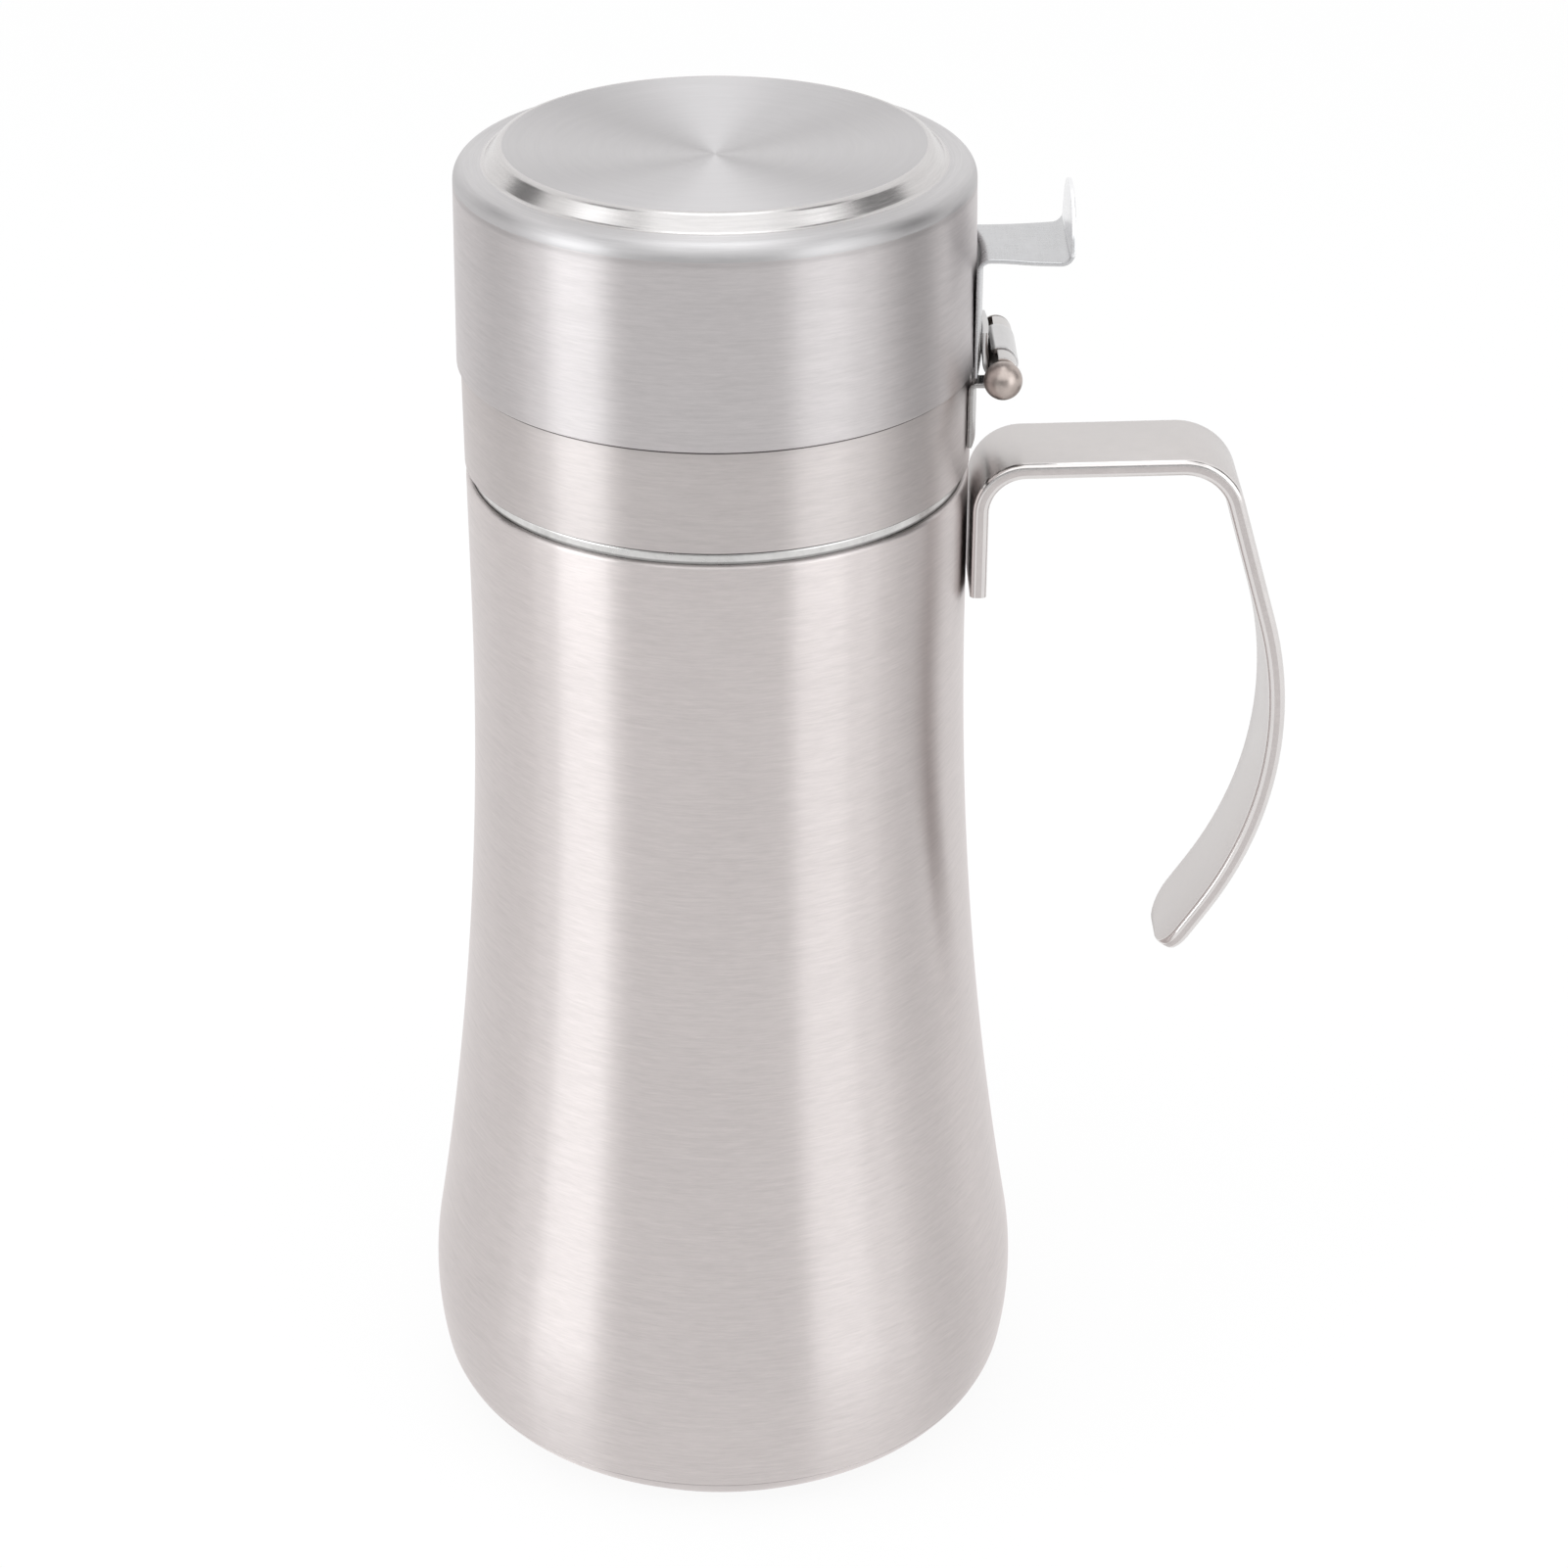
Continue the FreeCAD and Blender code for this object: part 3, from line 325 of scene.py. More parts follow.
def brushed(name, colour, rough, aniso, streaks="round", grain=0.8, variation=0.085, blotch=0.03,
            stains=()):
    """Brushed steel. The streaks run level round the axis, or in rings where it is spun."""
    s = Shader(name)
    point = s.point()
    x, y, z = s.parts(point)
    if streaks == "spun":
        radius = s.math("SQRT", s.math("ADD", s.math("MULTIPLY", x, x), s.math("MULTIPLY", y, y)))
        angle = s.math("ARCTAN2", y, x)
        both = s.node("ShaderNodeCombineXYZ")
        s.link(radius, both.inputs[0])
        s.link(s.math("MULTIPLY", s.math("COSINE", angle), 0.01), both.inputs[1])
        s.link(s.math("MULTIPLY", s.math("SINE", angle), 0.01), both.inputs[2])
        fine, coarse = s.mapped(both.outputs[0], (4000, 500, 500)), s.mapped(both.outputs[0], (1100, 150, 150))
    else:
        fine, coarse = s.mapped(point, (380, 380, 3600)), s.mapped(point, (130, 130, 1900))
    scratch = s.noise(fine, detail=4, roughness=0.65)
    band = s.noise(coarse, detail=3)
    cloud = s.noise(point, scale=28, detail=2)
    mix = s.math("ADD", s.math("MULTIPLY", scratch, 0.6), s.math("MULTIPLY", band, 0.4))
    low, high = shades(colour, variation)
    tint = s.ramp(mix, [(0.3, low), (0.7, high)])
    s.link(s.stained(tint, point, stains), s.bsdf.inputs["Base Color"])
    wobble = s.math("ADD", s.math("MULTIPLY", scratch, 0.06), s.math("MULTIPLY", cloud, blotch * 2))
    s.link(s.math("ADD", wobble, rough - 0.03 - blotch), s.bsdf.inputs["Roughness"])
    s.bsdf.inputs["Metallic"].default_value = 1.0
    s.bsdf.inputs["Anisotropic"].default_value = aniso
    s.bsdf.inputs["Anisotropic Rotation"].default_value = 0.25
    tangent = s.node("ShaderNodeTangent", direction_type="RADIAL", axis="Z")
    s.link(tangent.outputs[0], s.bsdf.inputs["Tangent"])
    s.bump(scratch, grain, 0.00002)
    return s.material


def satin(name, colour, rough, blotch=0.08, scale=400, grain=0.3, scratches=0.0, stains=()):
    """Steel with no direction to its finish: tumbled, pickled or ground, with a few scratches."""
    s = Shader(name)
    point = s.point()
    cloud = s.noise(point, scale=scale, detail=4, roughness=0.6)
    patch = s.noise(point, scale=scale / 5, detail=3)
    mix = s.blend(cloud, patch)
    if scratches:
        marks = s.blend(s.noise(s.mapped(point, (3000, 250, 250)), detail=2),
                        s.noise(s.mapped(point, (250, 3000, 2500)), detail=2))
        mix = s.math("ADD", mix, s.math("MULTIPLY", s.math("SUBTRACT", marks, 0.5), scratches))
    low, high = shades(colour, blotch)
    tint = s.stained(s.ramp(mix, [(0.3, low), (0.7, high)]), point, stains)
    s.link(tint, s.bsdf.inputs["Base Color"])
    s.link(s.spread(mix, rough - 0.06, rough + 0.06, 0.3, 0.7), s.bsdf.inputs["Roughness"])
    s.bsdf.inputs["Metallic"].default_value = 1.0
    s.bump(mix, grain, 0.00005)
    return s.material


def soft_material(name, colour):
    s = Shader(name)
    cloud = s.noise(s.point(), scale=200, detail=3)
    low = tuple(c * 0.96 for c in colour)
    s.link(s.ramp(cloud, [(0.35, low), (0.65, colour)]), s.bsdf.inputs["Base Color"])
    s.bsdf.inputs["Roughness"].default_value = 0.55
    s.bsdf.inputs["Subsurface Weight"].default_value = 0.2
    s.bsdf.inputs["Subsurface Radius"].default_value = (0.002, 0.002, 0.002)
    return s.material


BODY_STEEL = brushed("body_steel", (0.66, 0.61, 0.60), 0.335, 1.0,
                     stains=((2, 6.05, 6.3, 0.05, 0.8),))
# Painted shade: a dark band at the collar's top, for the gap under the lid's rim, and one at its foot, for the groove
# above the neck band.
COLLAR_STEEL = brushed("collar_steel", (0.635, 0.59, 0.58), 0.42, 1.0,
                       stains=((2, 178.8, 180, 0.04, 0.2), (2, 163, 163.8, 0.04, 0.3)))
# Painted shade: a darker band round the lid's side just under the shoulder, standing in for a dark band in its
# reflection.
LID_STEEL = brushed("lid_side_steel", (0.655, 0.62, 0.62), 0.45, 1.0,
                    stains=((2, 205.7, 206.6, 0.3, 0.86),))
# Painted shade: the shoulder ring is darkened from 205.7 to 208.2 mm to tone down its highlight.
RING_STEEL = brushed("lid_ring_steel", (0.625, 0.61, 0.615), 0.42, 0.8, streaks="spun",
                     stains=((2, 205.7, 208.2, 0.5, 0.82),))
STEP_STEEL = brushed("lid_step_steel", (0.625, 0.605, 0.60), 0.24, 0.5, streaks="spun")
TOP_STEEL = brushed("lid_top_steel", (0.58, 0.565, 0.57), 0.42, 0.85, streaks="spun",
                    variation=0.04)
# Painted shade: dark lines at the top and bottom of the groove, where the collar and the vessel's rim meet the neck
# band.
NECK_STEEL = satin("neck_satin", (0.66, 0.65, 0.64), 0.30, blotch=0.14, scale=900,
                   stains=((2, 163.2, 164, 0.05, 0.25), (2, 161, 162.1, 0.1, 0.5)))
PLATE_STEEL = satin("plate_satin", (0.64, 0.64, 0.64), 0.3, scale=300)
HANDLE_STEEL = satin("handle_satin", (0.63, 0.60, 0.59), 0.34, blotch=0.05)
SIDE_STEEL = satin("handle_side", (0.58, 0.54, 0.53), 0.36, blotch=0.08, scale=1500, grain=0.5)
EDGE_STEEL = satin("handle_edge", (0.72, 0.69, 0.68), 0.19, blotch=0.04)
LEVER_STEEL = satin("lever_satin", (0.575, 0.575, 0.585), 0.28, blotch=0.08, scratches=0.8)
# Painted highlight: the tab is the lever's own steel, given a near-white colour for the white it reflects.
TAB_STEEL = satin("lever_tab_painted_highlight", (0.90, 0.90, 0.91), 0.30, blotch=0.04, scratches=0.4)
# Painted shade: a dark band across the lid leaf at x 39.75 to 40.4 mm, in the seam between the roll's end and the
# flat leg.
HINGE_STEEL = satin("hinge_polish", (0.62, 0.61, 0.61), 0.22, blotch=0.07, scratches=0.4,
                    stains=((0, 39.75, 40.4, 0.15, 0.25),))
# Painted shade: the collar leaf's foot and bend are darkened, for the shadow beside the collar and under the lid.
FOOT_STEEL = satin("hinge_foot_polish", (0.62, 0.60, 0.59), 0.24, blotch=0.08, scratches=0.4,
                   stains=((2, 175.5, 178.2, 0.3, 0.55), (2, 167, 175.5, 0.3, 0.6)))
# Painted shade: the shank inside the knuckles is darkened for the shade in the barrel; the ball keeps the plain
# colour.
PIN_STEEL = satin("pin_tumbled", (0.45, 0.39, 0.36), 0.33, blotch=0.28, scale=600, grain=0.7,
                  stains=((1, -8.9, 9.0, 0.15, 0.35),))
SILICONE = soft_material("silicone_white", (0.82, 0.82, 0.80))


def wear(obj, *materials):
    obj.data.materials.clear()
    for material in materials:
        obj.data.materials.append(material)


def dress(node, material):
    """Give a CAD node's own slots the material."""
    mesh = frame["nodes"][node].data
    if mesh.materials:
        for i in range(len(mesh.materials)):
            mesh.materials[i] = material
    else:
        mesh.materials.append(material)


def stand_for(obj, node):
    body = next(b for b, names in frame["record"]["behaviour"]["bodies"].items() if node in names)
    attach(obj, body)
    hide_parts(node)
    return obj


# ---------------------------------------------------------------- the vessel

def corner_x():
    """The axis distance of the centre of the arc at the foot of the vessel."""
    drop = math.asin((BELLY_Z - CORNER_Z) / (BULGE - CORNER))
    return BELLY - BULGE + (BULGE - CORNER) * math.cos(drop), math.degrees(drop)


def vessel_side(inset):
    """The side from the neck down to the seam, moved inwards by the inset."""
    slim, tall = BELLY - NECK, NECK_Z - BELLY_Z
    reach = (slim * slim + tall * tall) / (2 * slim)
    lean = math.degrees(math.atan2(tall, reach - slim))
    points = arc(NECK + reach - BULGE, NECK_Z, reach - BULGE + inset, 180, 180 + lean, 70)
    cx, drop = corner_x()
    points += arc(BELLY - BULGE, BELLY_Z, BULGE - inset, lean, -drop, 40)
    low = math.degrees(math.asin((CORNER_Z - SEAM_Z) / CORNER))
    points += arc(cx, CORNER_Z, CORNER - inset, -drop, -low, 14)
    return points


def build_vessel():
    outer, inner = vessel_side(SKIN), vessel_side(SHEET)
    rim = rounded([(NECK - SHEET, TOP_Z), (NECK - SKIN, TOP_Z), (NECK - SKIN, NECK_Z)], [0, 0.6, 0])
    foot = rounded([outer[-2], outer[-1], inner[-1]], [0, 0.12, 0])
    outline = rim + outer[1:-1] + foot[1:-1] + list(reversed(inner))
    shell = lathe("vessel_shell", outline, segments=320)
    wear(shell, BODY_STEEL)
    stand_for(shell, "body_shell")

    cx, drop = corner_x()
    high = math.degrees(math.asin((CORNER_Z - SEAM_Z + SEAM_GAP) / CORNER))
    low = math.degrees(math.asin((CORNER_Z - CURL_Z) / CORNER))
    outer = arc(cx, CORNER_Z, CORNER - SKIN, -low, -high, 26)
    inner = arc(cx, CORNER_Z, CORNER - SHEET, -high, -low, 20)
    lip = rounded([outer[-2], outer[-1], inner[0]], [0, 0.12, 0])
    foot = rounded([(0, 2.2), (35.1, 2.2), (37.5, 0), (39.7, 0), (40.5, 1.2), outer[0], outer[1]],
                   [0, 0.6, 0.3, 0.3, 0.5, 0.3, 0])
    outline = foot + outer[2:-1] + lip[1:-1] + inner + [(39.4, 1.2), (37.8, 1.2), (35.1, 3.0), (0, 3.0)]
    pressed = lathe("base_pressing", outline, segments=320)
    wear(pressed, BODY_STEEL)
    stand_for(pressed, "base_plate")

    ring = rounded([
        (35.55, 153.7), (GROOVE - SKIN, 153.7), (GROOVE - SKIN, 163.4), (34.9, 163.4), (34.9, 172.4),
        (34.0, 172.4), (34.0, 162.5), (35.55, 162.5),
    ], [0, 0, 0.5, 0, 0.5, 0, 0, 0])
    neck = lathe("neck_band", ring, segments=256)
    wear(neck, NECK_STEEL)
    stand_for(neck, "neck_ring")


# ---------------------------------------------------------------- the head

def build_head():
    outline = rounded([
        (36.6, COLLAR_Z0), (COLLAR - SKIN, COLLAR_Z0), (COLLAR - SKIN, COLLAR_Z1), (36.6, COLLAR_Z1),
    ], [0, 0.12, 0.15, 0])
    collar = lathe("collar_band", outline, segments=320)
    wear(collar, COLLAR_STEEL)
    stand_for(collar, "collar")
    dress("thread_sleeve", NECK_STEEL)
    dress("pour_plate", PLATE_STEEL)
    dress("pour_spout", PLATE_STEEL)
    dress("neck_gasket", SILICONE)


# ---------------------------------------------------------------- the lid

def build_lid():
    rim, side = LID_RIM - SKIN, LID_SIDE - SKIN
    curve = (DISH_EDGE ** 2 + DISH ** 2) / (2 * DISH)
    outer = rounded([(36.8, LID_Z0), (rim, LID_Z0), (side, RING_Z - 0.2), (STEP_FOOT, RING_Z + 0.1),
                     (STEP_TOP, LID_Z1), (DISH_EDGE, LID_Z1)], [0, 0.3, 2.4, 1.0, 1.3, 0], steps=14)
    half = math.degrees(math.asin(DISH_EDGE / curve))
    centre = LID_Z1 - DISH + curve
    dish = arc(0, centre, curve, -90 + half, -90, 30)
    under = arc(0, centre - SHEET, curve, -90, -90 + half, 20)
    inner = rounded([(DISH_EDGE, LID_Z1 - SHEET), (30.63, LID_Z1 - SHEET), (32.63, RING_Z - SHEET),
                     (36.65, RING_Z - SHEET), (37.15, 181.65), (36.8, 181.65)],
                    [0, 0.2, 1.8, 2.2, 0, 0], steps=8)
    outline = outer + dish[1:] + under[:-1] + inner

    def part(a, b):
        low, high, far = min(a[1], b[1]), max(a[1], b[1]), max(a[0], b[0])
        if far <= DISH_EDGE + 0.01:
            return 3
        if low >= RING_Z - 0.01 and far < STEP_FOOT + 0.5:
            return 2
        return 1 if low >= RING_Z - 2.7 else 0

    lid = lathe("lid_cover", outline, segments=320, index_of=part,
                slots=(LID_STEEL, RING_STEEL, STEP_STEEL, TOP_STEEL))
    stand_for(lid, "lid_shell")
    dress("stopper_cup", PLATE_STEEL)
    dress("spout_stopper", SILICONE)


# ---------------------------------------------------------------- the hinge and its lever

def along_path(points, ends, gap):
    """Points along an outline of (x, z), no further apart than the gap; soft ends are closer."""
    lengths = [0.0]
    for a, b in zip(points, points[1:]):
        lengths.append(lengths[-1] + math.hypot(b[0] - a[0], b[1] - a[1]))
    total = lengths[-1]
    stations = spaced(0.0, total, ends, max(2, int(total / gap)))
    out = []
    for want in stations:
        i = max(k for k in range(len(lengths) - 1) if lengths[k] <= want + 1e-9)
        t = (want - lengths[i]) / (lengths[i + 1] - lengths[i])
        a, b = points[i], points[i + 1]
        out.append((a[0] + (b[0] - a[0]) * t, a[1] + (b[1] - a[1]) * t, min(want, total - want)))
    return out


def lever_half(x, z):
    """Half the lever's width where its middle surface is at x and z."""
    if z > TAB_TOP - TAB_ROUND:
        rise = z - (TAB_TOP - TAB_ROUND)
        return LEVER_WIDE - TAB_ROUND + math.sqrt(max(TAB_ROUND ** 2 - rise ** 2, 0.0))
    if z < LEVER_TOP - 3:
        return LEVER_HALF
    t = min(max((x - 38.5) / (TAB_X - 39.5), 0.0), 1.0)
    return LEVER_HALF + (LEVER_WIDE - LEVER_HALF) * t ** 1.8


def build_lever():
    soft, middle = 0.14, LEVER_TOP - LEVER_THICK / 2
    shares = spaced(-1.0, 1.0, soft / LEVER_HALF, 26)
    columns = []
    for share in shares:
        y = share * LEVER_HALF
        back = math.sqrt((LEVER_IN + LEVER_THICK / 2) ** 2 - y * y)
        bend = max(0.75, 2.05 - 0.1075 * (y + LEVER_HALF)) - LEVER_THICK / 2
        tab, turn = TAB_X - LEVER_THICK / 2, 1.5 + LEVER_THICK / 2
        path = [(back, LEVER_Z0)] + arc(back + bend, middle - bend, bend, 180, 90, 12)
        path += arc(tab - turn, middle + turn, turn, -90, 0, 14) + [(tab, TAB_TOP)]
        columns.append(path)
    grid, edge = [], []
    count = 90
    tracks = []
    for path in columns:
        legs = [path[:2], path[1:14], path[13:15], path[14:29], path[28:]]
        steps = (14, 12, 20, 14, 0)
        track = []
        for leg, n in zip(legs, steps):
            if n == 0:
                low, high = leg[0][1], leg[-1][1]
                track += [(leg[0][0], z) for z in spaced(low, high, soft, 18, (False, True))]
            elif len(leg) == 2:
                first = [(leg[0][0] + (leg[1][0] - leg[0][0]) * i / n,
                          leg[0][1] + (leg[1][1] - leg[0][1]) * i / n) for i in range(n)]
                track += first
            else:
                track += leg[:-1]
        tracks.append(track)
    rows = len(tracks[0])
    for i in range(rows):
        line, gaps = [], []
        for share, track in zip(shares, tracks):
            x, z = track[i]
            half = lever_half(x, z)
            inset = (1 - abs(share)) * LEVER_HALF
            if inset < soft + 1e-6:
                y = math.copysign(half - inset, share)
            else:
                y = share / (1 - soft / LEVER_HALF) * (half - soft)
            wave = 0.0
            if 40 < x < 50 and z < LEVER_TOP:
                near = max(0.0, -share) ** 3
                wave = -0.16 * near * math.sin(math.pi * (x - 40) / 10) ** 2 * (0.4 + (x - 40) / 10)
            line.append(Vector((x, y, z + wave)))
            ends = min(abs(z - TAB_TOP) if x > 50 else 9.0, abs(z - LEVER_Z0) if i < 16 else 9.0)
            gaps.append(min(inset, ends))
        grid.append(line)
        edge.append(gaps)
    lever = sheet("thumb_strip", grid, edge, LEVER_THICK, soft)
    wear(lever, LEVER_STEEL, TAB_STEEL)
    # The tab's faces take the painted highlight colour.
    for polygon in lever.data.polygons:
        x, y, z = polygon.center / MM
        polygon.material_index = 1 if x > TAB_X - 1 and z > LEVER_TOP + 1 else 0
    stand_for(lever, "thumb_lever")


def build_hinge():
    soft = 0.12
    thick, roll = 0.95, 2.6
    path = [(HINGE_X - roll + thick / 2, 183.9)]
    path += arc(HINGE_X, HINGE_Z, roll - thick / 2, 180, 360 + 125, 70)
    track = along_path(path, soft, 0.35)
    across = spaced(-4.64, 4.64, soft, 14)

    def hug(x, y, z):
        """How far the flat leaf bends in to follow the lid, above its roll."""
        flat = HINGE_X - roll + thick / 2
        share = min(max((z - 180.2) / 1.6, 0.0), 1.0) if abs(x - flat) < 0.3 else 0.0
        return x - share * (flat - math.sqrt(flat * flat - y * y))

    grid = [[Vector((hug(x, y, z), y, z)) for y in across] for x, z, _ in track]
    edge = [[min(end, 4.64 - abs(y)) for y in across] for _, _, end in track]
    leaf = sheet("lid_leaf", grid, edge, thick, soft)
    wear(leaf, HINGE_STEEL)
    stand_for(leaf, "lid_hinge_leaf")

    thick, roll, bend, wide, notch, notch_z = 0.7, 2.35, 0.5, 8.5, 4.93, 176.15
    foot, shelf = 37.45 + thick / 2, HINGE_Z - roll + thick / 2
    side = spaced(notch, wide, soft, 8)
    across = [-y for y in reversed(side)] + [notch * (i / 10) for i in range(-9, 10)] + side
    tracks = []
    for y in across:
        back = math.sqrt(foot ** 2 - y * y)
        turn = bend + thick / 2
        rise = [(back, z) for z in spaced(167.5, notch_z, soft, 20)]
        curve = arc(back + turn, shelf - turn, turn, 180, 90, 8)
        over = arc(HINGE_X, HINGE_Z, roll - thick / 2, -90, 105, 40)
        last = math.radians(105)
        tail = [(HINGE_X + (roll - thick / 2) * math.cos(last + d), HINGE_Z + (roll - thick / 2) * math.sin(last + d))
                for d in (-soft * 0.45 / 2, -soft * 0.2 / 2)]
        tracks.append(rise + curve + over[:-1] + tail + [over[-1]])
    rows, low = len(tracks[0]), len(spaced(167.5, notch_z, soft, 20))
    grid = [[Vector((track[i][0], y, track[i][1])) for y, track in zip(across, tracks)] for i in range(rows)]
    edge = []
    for i in range(rows):
        line = []
        for y, track in zip(across, tracks):
            gap = wide - abs(y)
            gap = min(gap, track[i][1] - 167.5)
            if i >= low - 1:
                gap = min(gap, abs(abs(y) - notch))
            elif abs(y) < notch:
                gap = min(gap, notch_z - track[i][1])
            if i > rows - 4:
                gap = min(gap, (rows - 1 - i) * soft * 0.3)
            line.append(gap)
        edge.append(line)

    def missing(i, j):
        return i >= low - 1 and abs(across[j] + across[j + 1]) / 2 < notch

    leaf = sheet("collar_leaf", grid, edge, thick, soft, missing)
    wear(leaf, FOOT_STEEL)
    stand_for(leaf, "collar_hinge_leaf")

    head = arc(BALL_Y, 0, BALL, 180, 61.7, 40)
    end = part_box("hinge_pin")[1][1] / MM
    outline = [(abs(r), y) for y, r in head]
    outline += rounded([(PIN + 0.1, -8.6), (PIN, -8.4), (PIN, 8.55), (1.05, 8.55), (1.05, end), (0, end)],
                       [0, 0, 0.1, 0, 0.1, 0])
    pin = lathe("hinge_rod", outline, segments=96, place=about_pin)
    wear(pin, PIN_STEEL)
    stand_for(pin, "hinge_pin")
    dress("pin_end_cap", PIN_STEEL)


# ---------------------------------------------------------------- the handle

def handle_path(step=1.5):
    """The middle line of the strip from the weld to the free end: points and directions."""
    corners = [(38.85, 143.2), (38.85, 163.3), (74.85, 164.2), (90.1, 112.6), (69.75, 80.9)]
    points = rounded(corners, [0, 6.8, 8.4, 60.0, 0], steps=26)
    dense = [Vector(points[0])]
    for a, b in zip(points, points[1:]):
        a, b = Vector(a), Vector(b)
        n = max(1, int((b - a).length / step))
        dense += [a + (b - a) * (i + 1) / n for i in range(n)]
    out = []
    for i, p in enumerate(dense):
        before, after = dense[max(i - 1, 0)], dense[min(i + 1, len(dense) - 1)]
        out.append((p, (after - before).normalized()))
    return out


def build_handle():
    half, thin, soft = 8.25 - 0.01, 1.25 - 0.01, 0.8
    stations = handle_path()
    last, along = stations[-1]
    tip, corner = last, 5.0
    keep = [(p, t) for p, t in stations if (tip - p).dot(along) > half + 1]
    start = keep[-1][0]
    stations = keep + [(start + (tip - start) * (1 - (1 - i / 40) ** 2), along) for i in range(1, 41)]
    verts, faces, indices = [], [], []
    for p, t in stations:
        normal = Vector((t.y, -t.x))
        left = (tip - p).dot(along)
        width = half
        if (tip - p).length < 15 and left < corner:
            width = half - corner + math.sqrt(max(corner ** 2 - (corner - left) ** 2, 0.0))
        s = min(soft, width * 0.5)
        section = []
        for cy, cn, first in ((1, 1, 0), (-1, 1, 90), (-1, -1, 180), (1, -1, 270)):
            for y, n in arc(cy * (width - s), cn * (thin - s), s, first, first + 90, 4):
                section.append((y, n))
        size = len(section)
        for y, n in section:
            q = p + normal * n
            verts.append((q.x, y, q.y))
    for i in range(len(stations) - 1):
        for k in range(size):
            n = (k + 1) % size
            faces.append([i * size + k, i * size + n, (i + 1) * size + n, (i + 1) * size + k])
            indices.append(1 if k % 5 != 4 else (0 if k in (4, 14) else 2))
    faces += [list(reversed(range(size))), [(len(stations) - 1) * size + k for k in range(size)]]
    indices += [2, 2]
    strip = make_mesh("handle_strip", verts, faces, 50, indices, (HANDLE_STEEL, EDGE_STEEL, SIDE_STEEL))
    stand_for(strip, "handle")


# ---------------------------------------------------------------- stage, light and camera

def seen_by(nodes, links):
    """1 for camera, glossy and transmission rays, and 0 for the others."""
    path = nodes.new("ShaderNodeLightPath")
    value = path.outputs["Is Camera Ray"]
    for name in ("Is Glossy Ray", "Is Transmission Ray"):
        largest = nodes.new("ShaderNodeMath")
        largest.operation = "MAXIMUM"
        links.new(value, largest.inputs[0])
        links.new(path.outputs[name], largest.inputs[1])
        value = largest.outputs[0]
    return value


def build_floor():
    bpy.ops.mesh.primitive_plane_add(size=6, location=(0, 0, 0))
    floor = bpy.context.object
    floor.name = "floor"
    s = Shader("floor_pale")
    s.bsdf.inputs["Base Color"].default_value = (0.93, 0.93, 0.93, 1)
    s.bsdf.inputs["Roughness"].default_value = 0.8
    s.bsdf.inputs["Specular IOR Level"].default_value = 0.1
    glow = s.node("ShaderNodeEmission")
    glow.inputs["Color"].default_value = (1, 1, 1, 1)
    glow.inputs["Strength"].default_value = 1.0
    mix = s.node("ShaderNodeMixShader")
    s.link(s.math("MULTIPLY", seen_by(s.nodes, s.links), 0.88), mix.inputs[0])
    s.link(s.bsdf.outputs[0], mix.inputs[1])
    s.link(glow.outputs[0], mix.inputs[2])
    s.link(mix.outputs[0], s.nodes["Material Output"].inputs["Surface"])
    floor.data.materials.append(s.material)


def build_world():
    world = bpy.data.worlds.new("studio")
    bpy.context.scene.world = world
    world.use_nodes = True
    nodes, links = world.node_tree.nodes, world.node_tree.links
    background = nodes["Background"]
    background.inputs["Color"].default_value = (1, 1, 1, 1)
    level = nodes.new("ShaderNodeMapRange")
    level.inputs["To Min"].default_value = 0.9
    level.inputs["To Max"].default_value = 1.0
    links.new(seen_by(nodes, links), level.inputs["Value"])
    links.new(level.outputs["Result"], background.inputs["Strength"])


def around(azimuth, distance, height):
    """A place round the object. Azimuth 0 is the camera's side, and + is towards +X."""
    a = math.radians(azimuth)
    return Vector((distance * math.sin(a), -distance * math.cos(a), height))


def facing(place):
    return (Vector((0, 0, 0.11)) - place).to_track_quat("-Z", "Y").to_euler()


def softbox(name, azimuth, distance, height, size, power):
    """A soft area light that faces the object."""
    light = bpy.data.lights.new(name, "AREA")
    light.shape = "RECTANGLE"
    light.size, light.size_y = size
    light.energy = power
    light.color = (0.965, 1.0, 1.015)
    obj = bpy.data.objects.new(name, light)
    obj.location = around(azimuth, distance, height)
    obj.rotation_euler = facing(obj.location)
    obj.visible_camera = False
    bpy.context.scene.collection.objects.link(obj)


def card(name, azimuth, distance, height, size, grey, upright=True):
    """A grey card that only the steel's reflections show."""
    bpy.ops.mesh.primitive_plane_add(size=1)
    obj = bpy.context.object
    obj.name = name
    obj.location = around(azimuth, distance, height)
    if upright:
        obj.rotation_euler = (math.radians(90), 0, math.radians(azimuth))
    else:
        obj.rotation_euler = facing(obj.location)
    obj.scale = (*size, 1)
    s = Shader(name + "_grey")
    s.bsdf.inputs["Base Color"].default_value = (grey, grey, grey, 1)
    s.bsdf.inputs["Roughness"].default_value = 0.9
    obj.data.materials.append(s.material)
    obj.visible_camera = False
    obj.visible_shadow = False
    obj.visible_diffuse = False


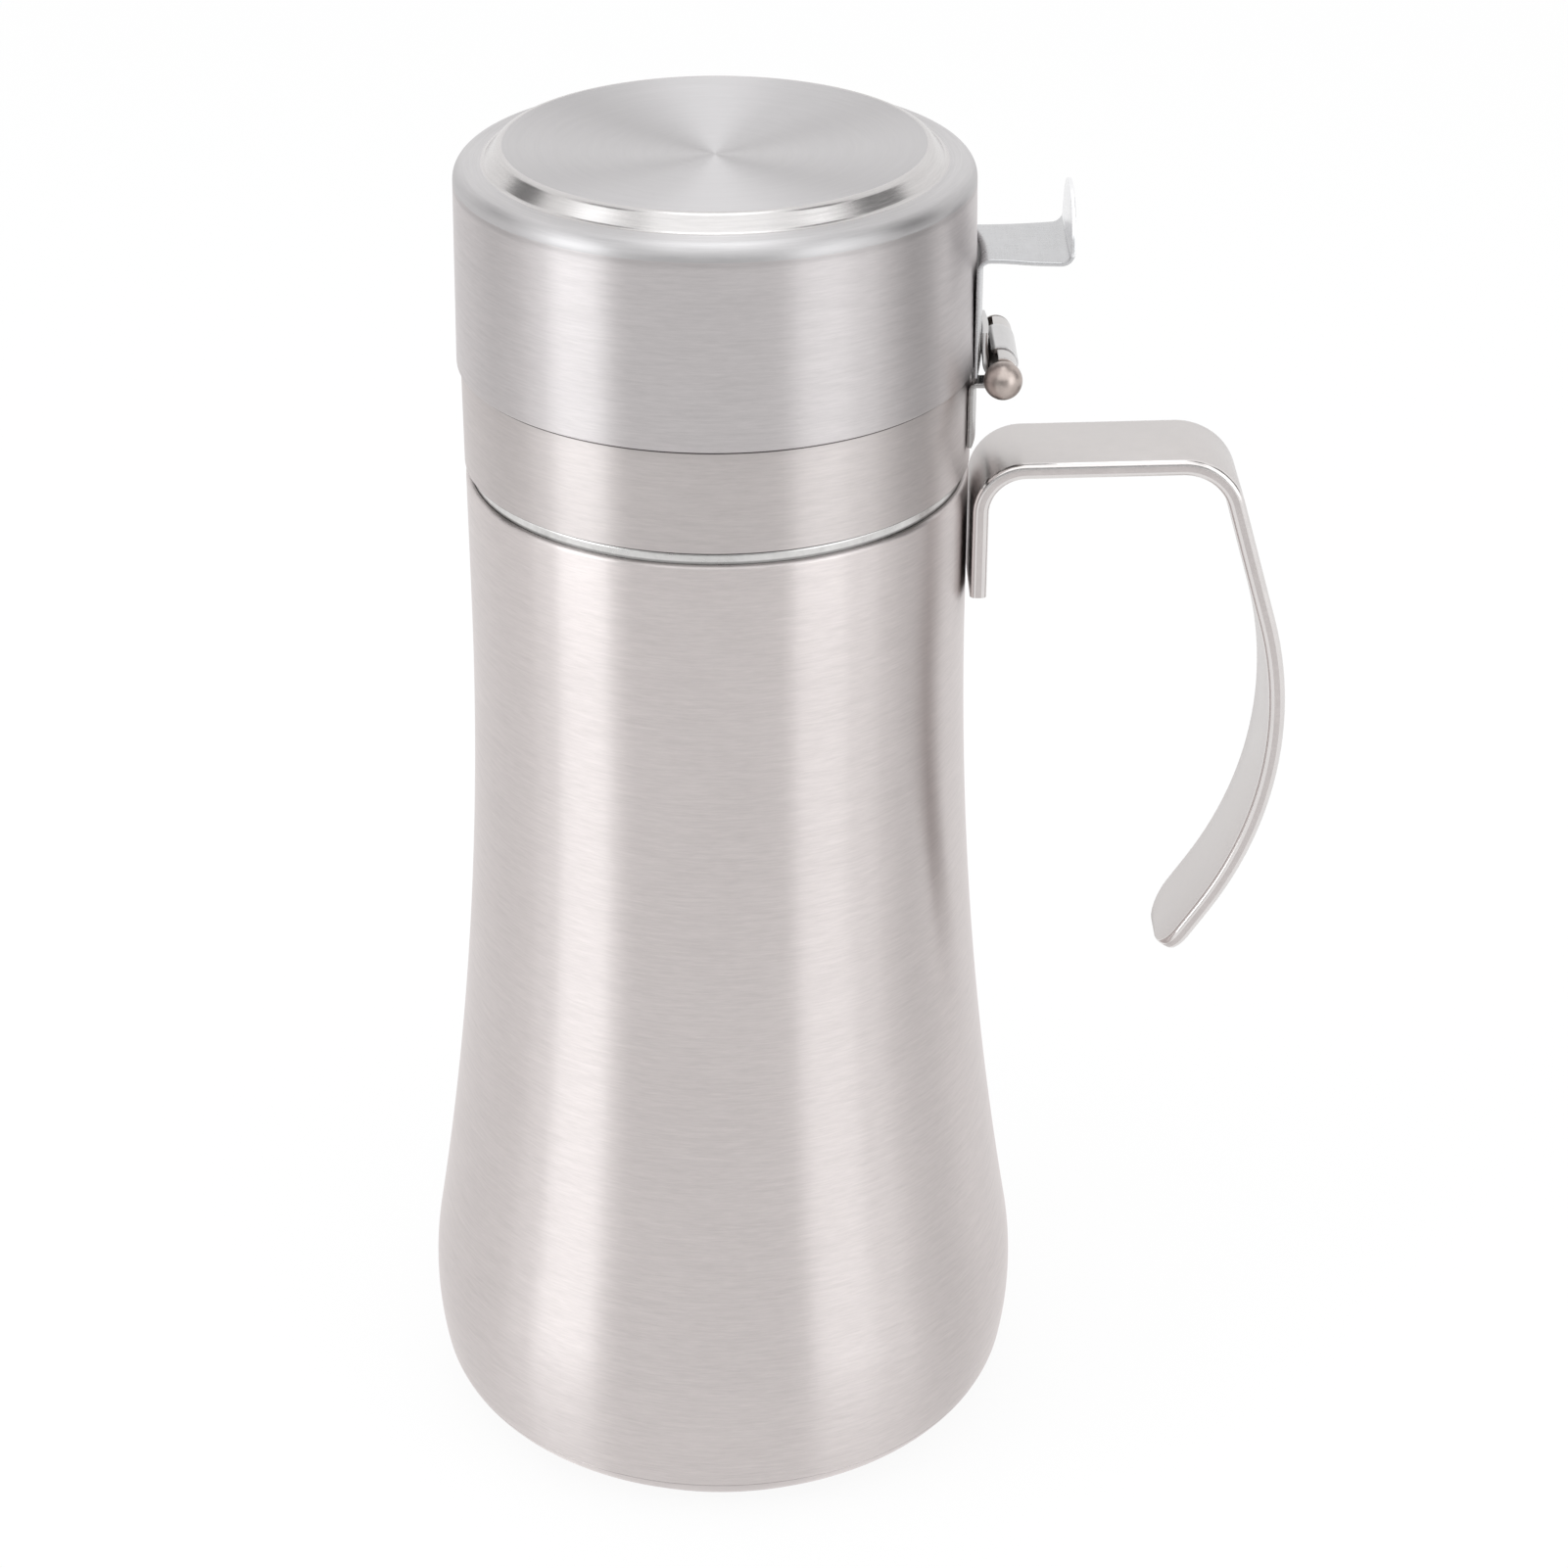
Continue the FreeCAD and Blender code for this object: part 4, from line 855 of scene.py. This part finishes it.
def build_lights():
    softbox("left_softbox", -60, 1.1, 0.43, (0.52, 0.84), 2.8)
    softbox("left_top", -74, 0.80, 1.10, (0.44, 0.35), 0.13)
    softbox("left_fill", -80, 1.1, 0.70, (0.30, 1.4), 0.9)
    softbox("right_softbox", 46, 1.1, 0.43, (0.50, 0.84), 1.6)
    softbox("right_top", 62, 0.80, 1.10, (0.40, 0.35), 0.14)
    softbox("right_fill", 67, 1.1, 0.66, (0.32, 1.3), 0.9)
    softbox("front_overhead", 0, 0.30, 1.25, (1.0, 1.1), 1.4)
    softbox("front_high", -3, 0.80, 0.80, (1.10, 0.45), 0.75)
    softbox("back_overhead", 180, 0.25, 1.15, (0.35, 0.50), 0.66)
    card("camera_side_card", -4, 0.9, 0.27, (1.30, 0.54), 0.32)
    card("camera_side_strip", -4, 0.88, 0.16, (1.28, 0.30), 0.48)
    card("left_gap", -53.5, 0.70, 1.20, (0.04, 0.45), 0.2, upright=False)
    card("right_gap", 45, 0.70, 1.20, (0.03, 0.45), 0.2, upright=False)
    card("left_ceiling", -105, 0.55, 1.28, (0.40, 0.36), 0.05, upright=False)
    card("right_ceiling", 105, 0.55, 1.28, (0.40, 0.36), 0.05, upright=False)
    card("left_flag", -118, 1.0, 0.75, (0.40, 0.32), 0.05, upright=False)
    card("right_flag", 97, 1.0, 0.74, (0.38, 1.00), 0.05)
    card("right_back_flag", 112, 1.0, 0.82, (0.20, 0.25), 0.05, upright=False)


def build_camera():
    camera = bpy.data.cameras.new("photo_camera")
    camera.lens = 83.265
    camera.sensor_width = 36
    camera.clip_start = 0.01
    obj = bpy.data.objects.new("photo_camera", camera)
    place = Matrix.Translation((0.00721, -0.49775, 0.3745))
    turn = Matrix.Rotation(math.radians(-0.318), 4, "Z")
    tilt = Matrix.Rotation(math.radians(90 - 28.2209), 4, "X")
    roll = Matrix.Rotation(math.radians(0.09335), 4, "Z")
    obj.matrix_world = place @ turn @ tilt @ roll
    bpy.context.scene.collection.objects.link(obj)
    bpy.context.scene.camera = obj


build_vessel()
build_head()
build_lid()
build_lever()
build_hinge()
build_handle()
build_floor()
build_world()
build_lights()
build_camera()
bpy.context.scene.view_settings.view_transform = "Standard"
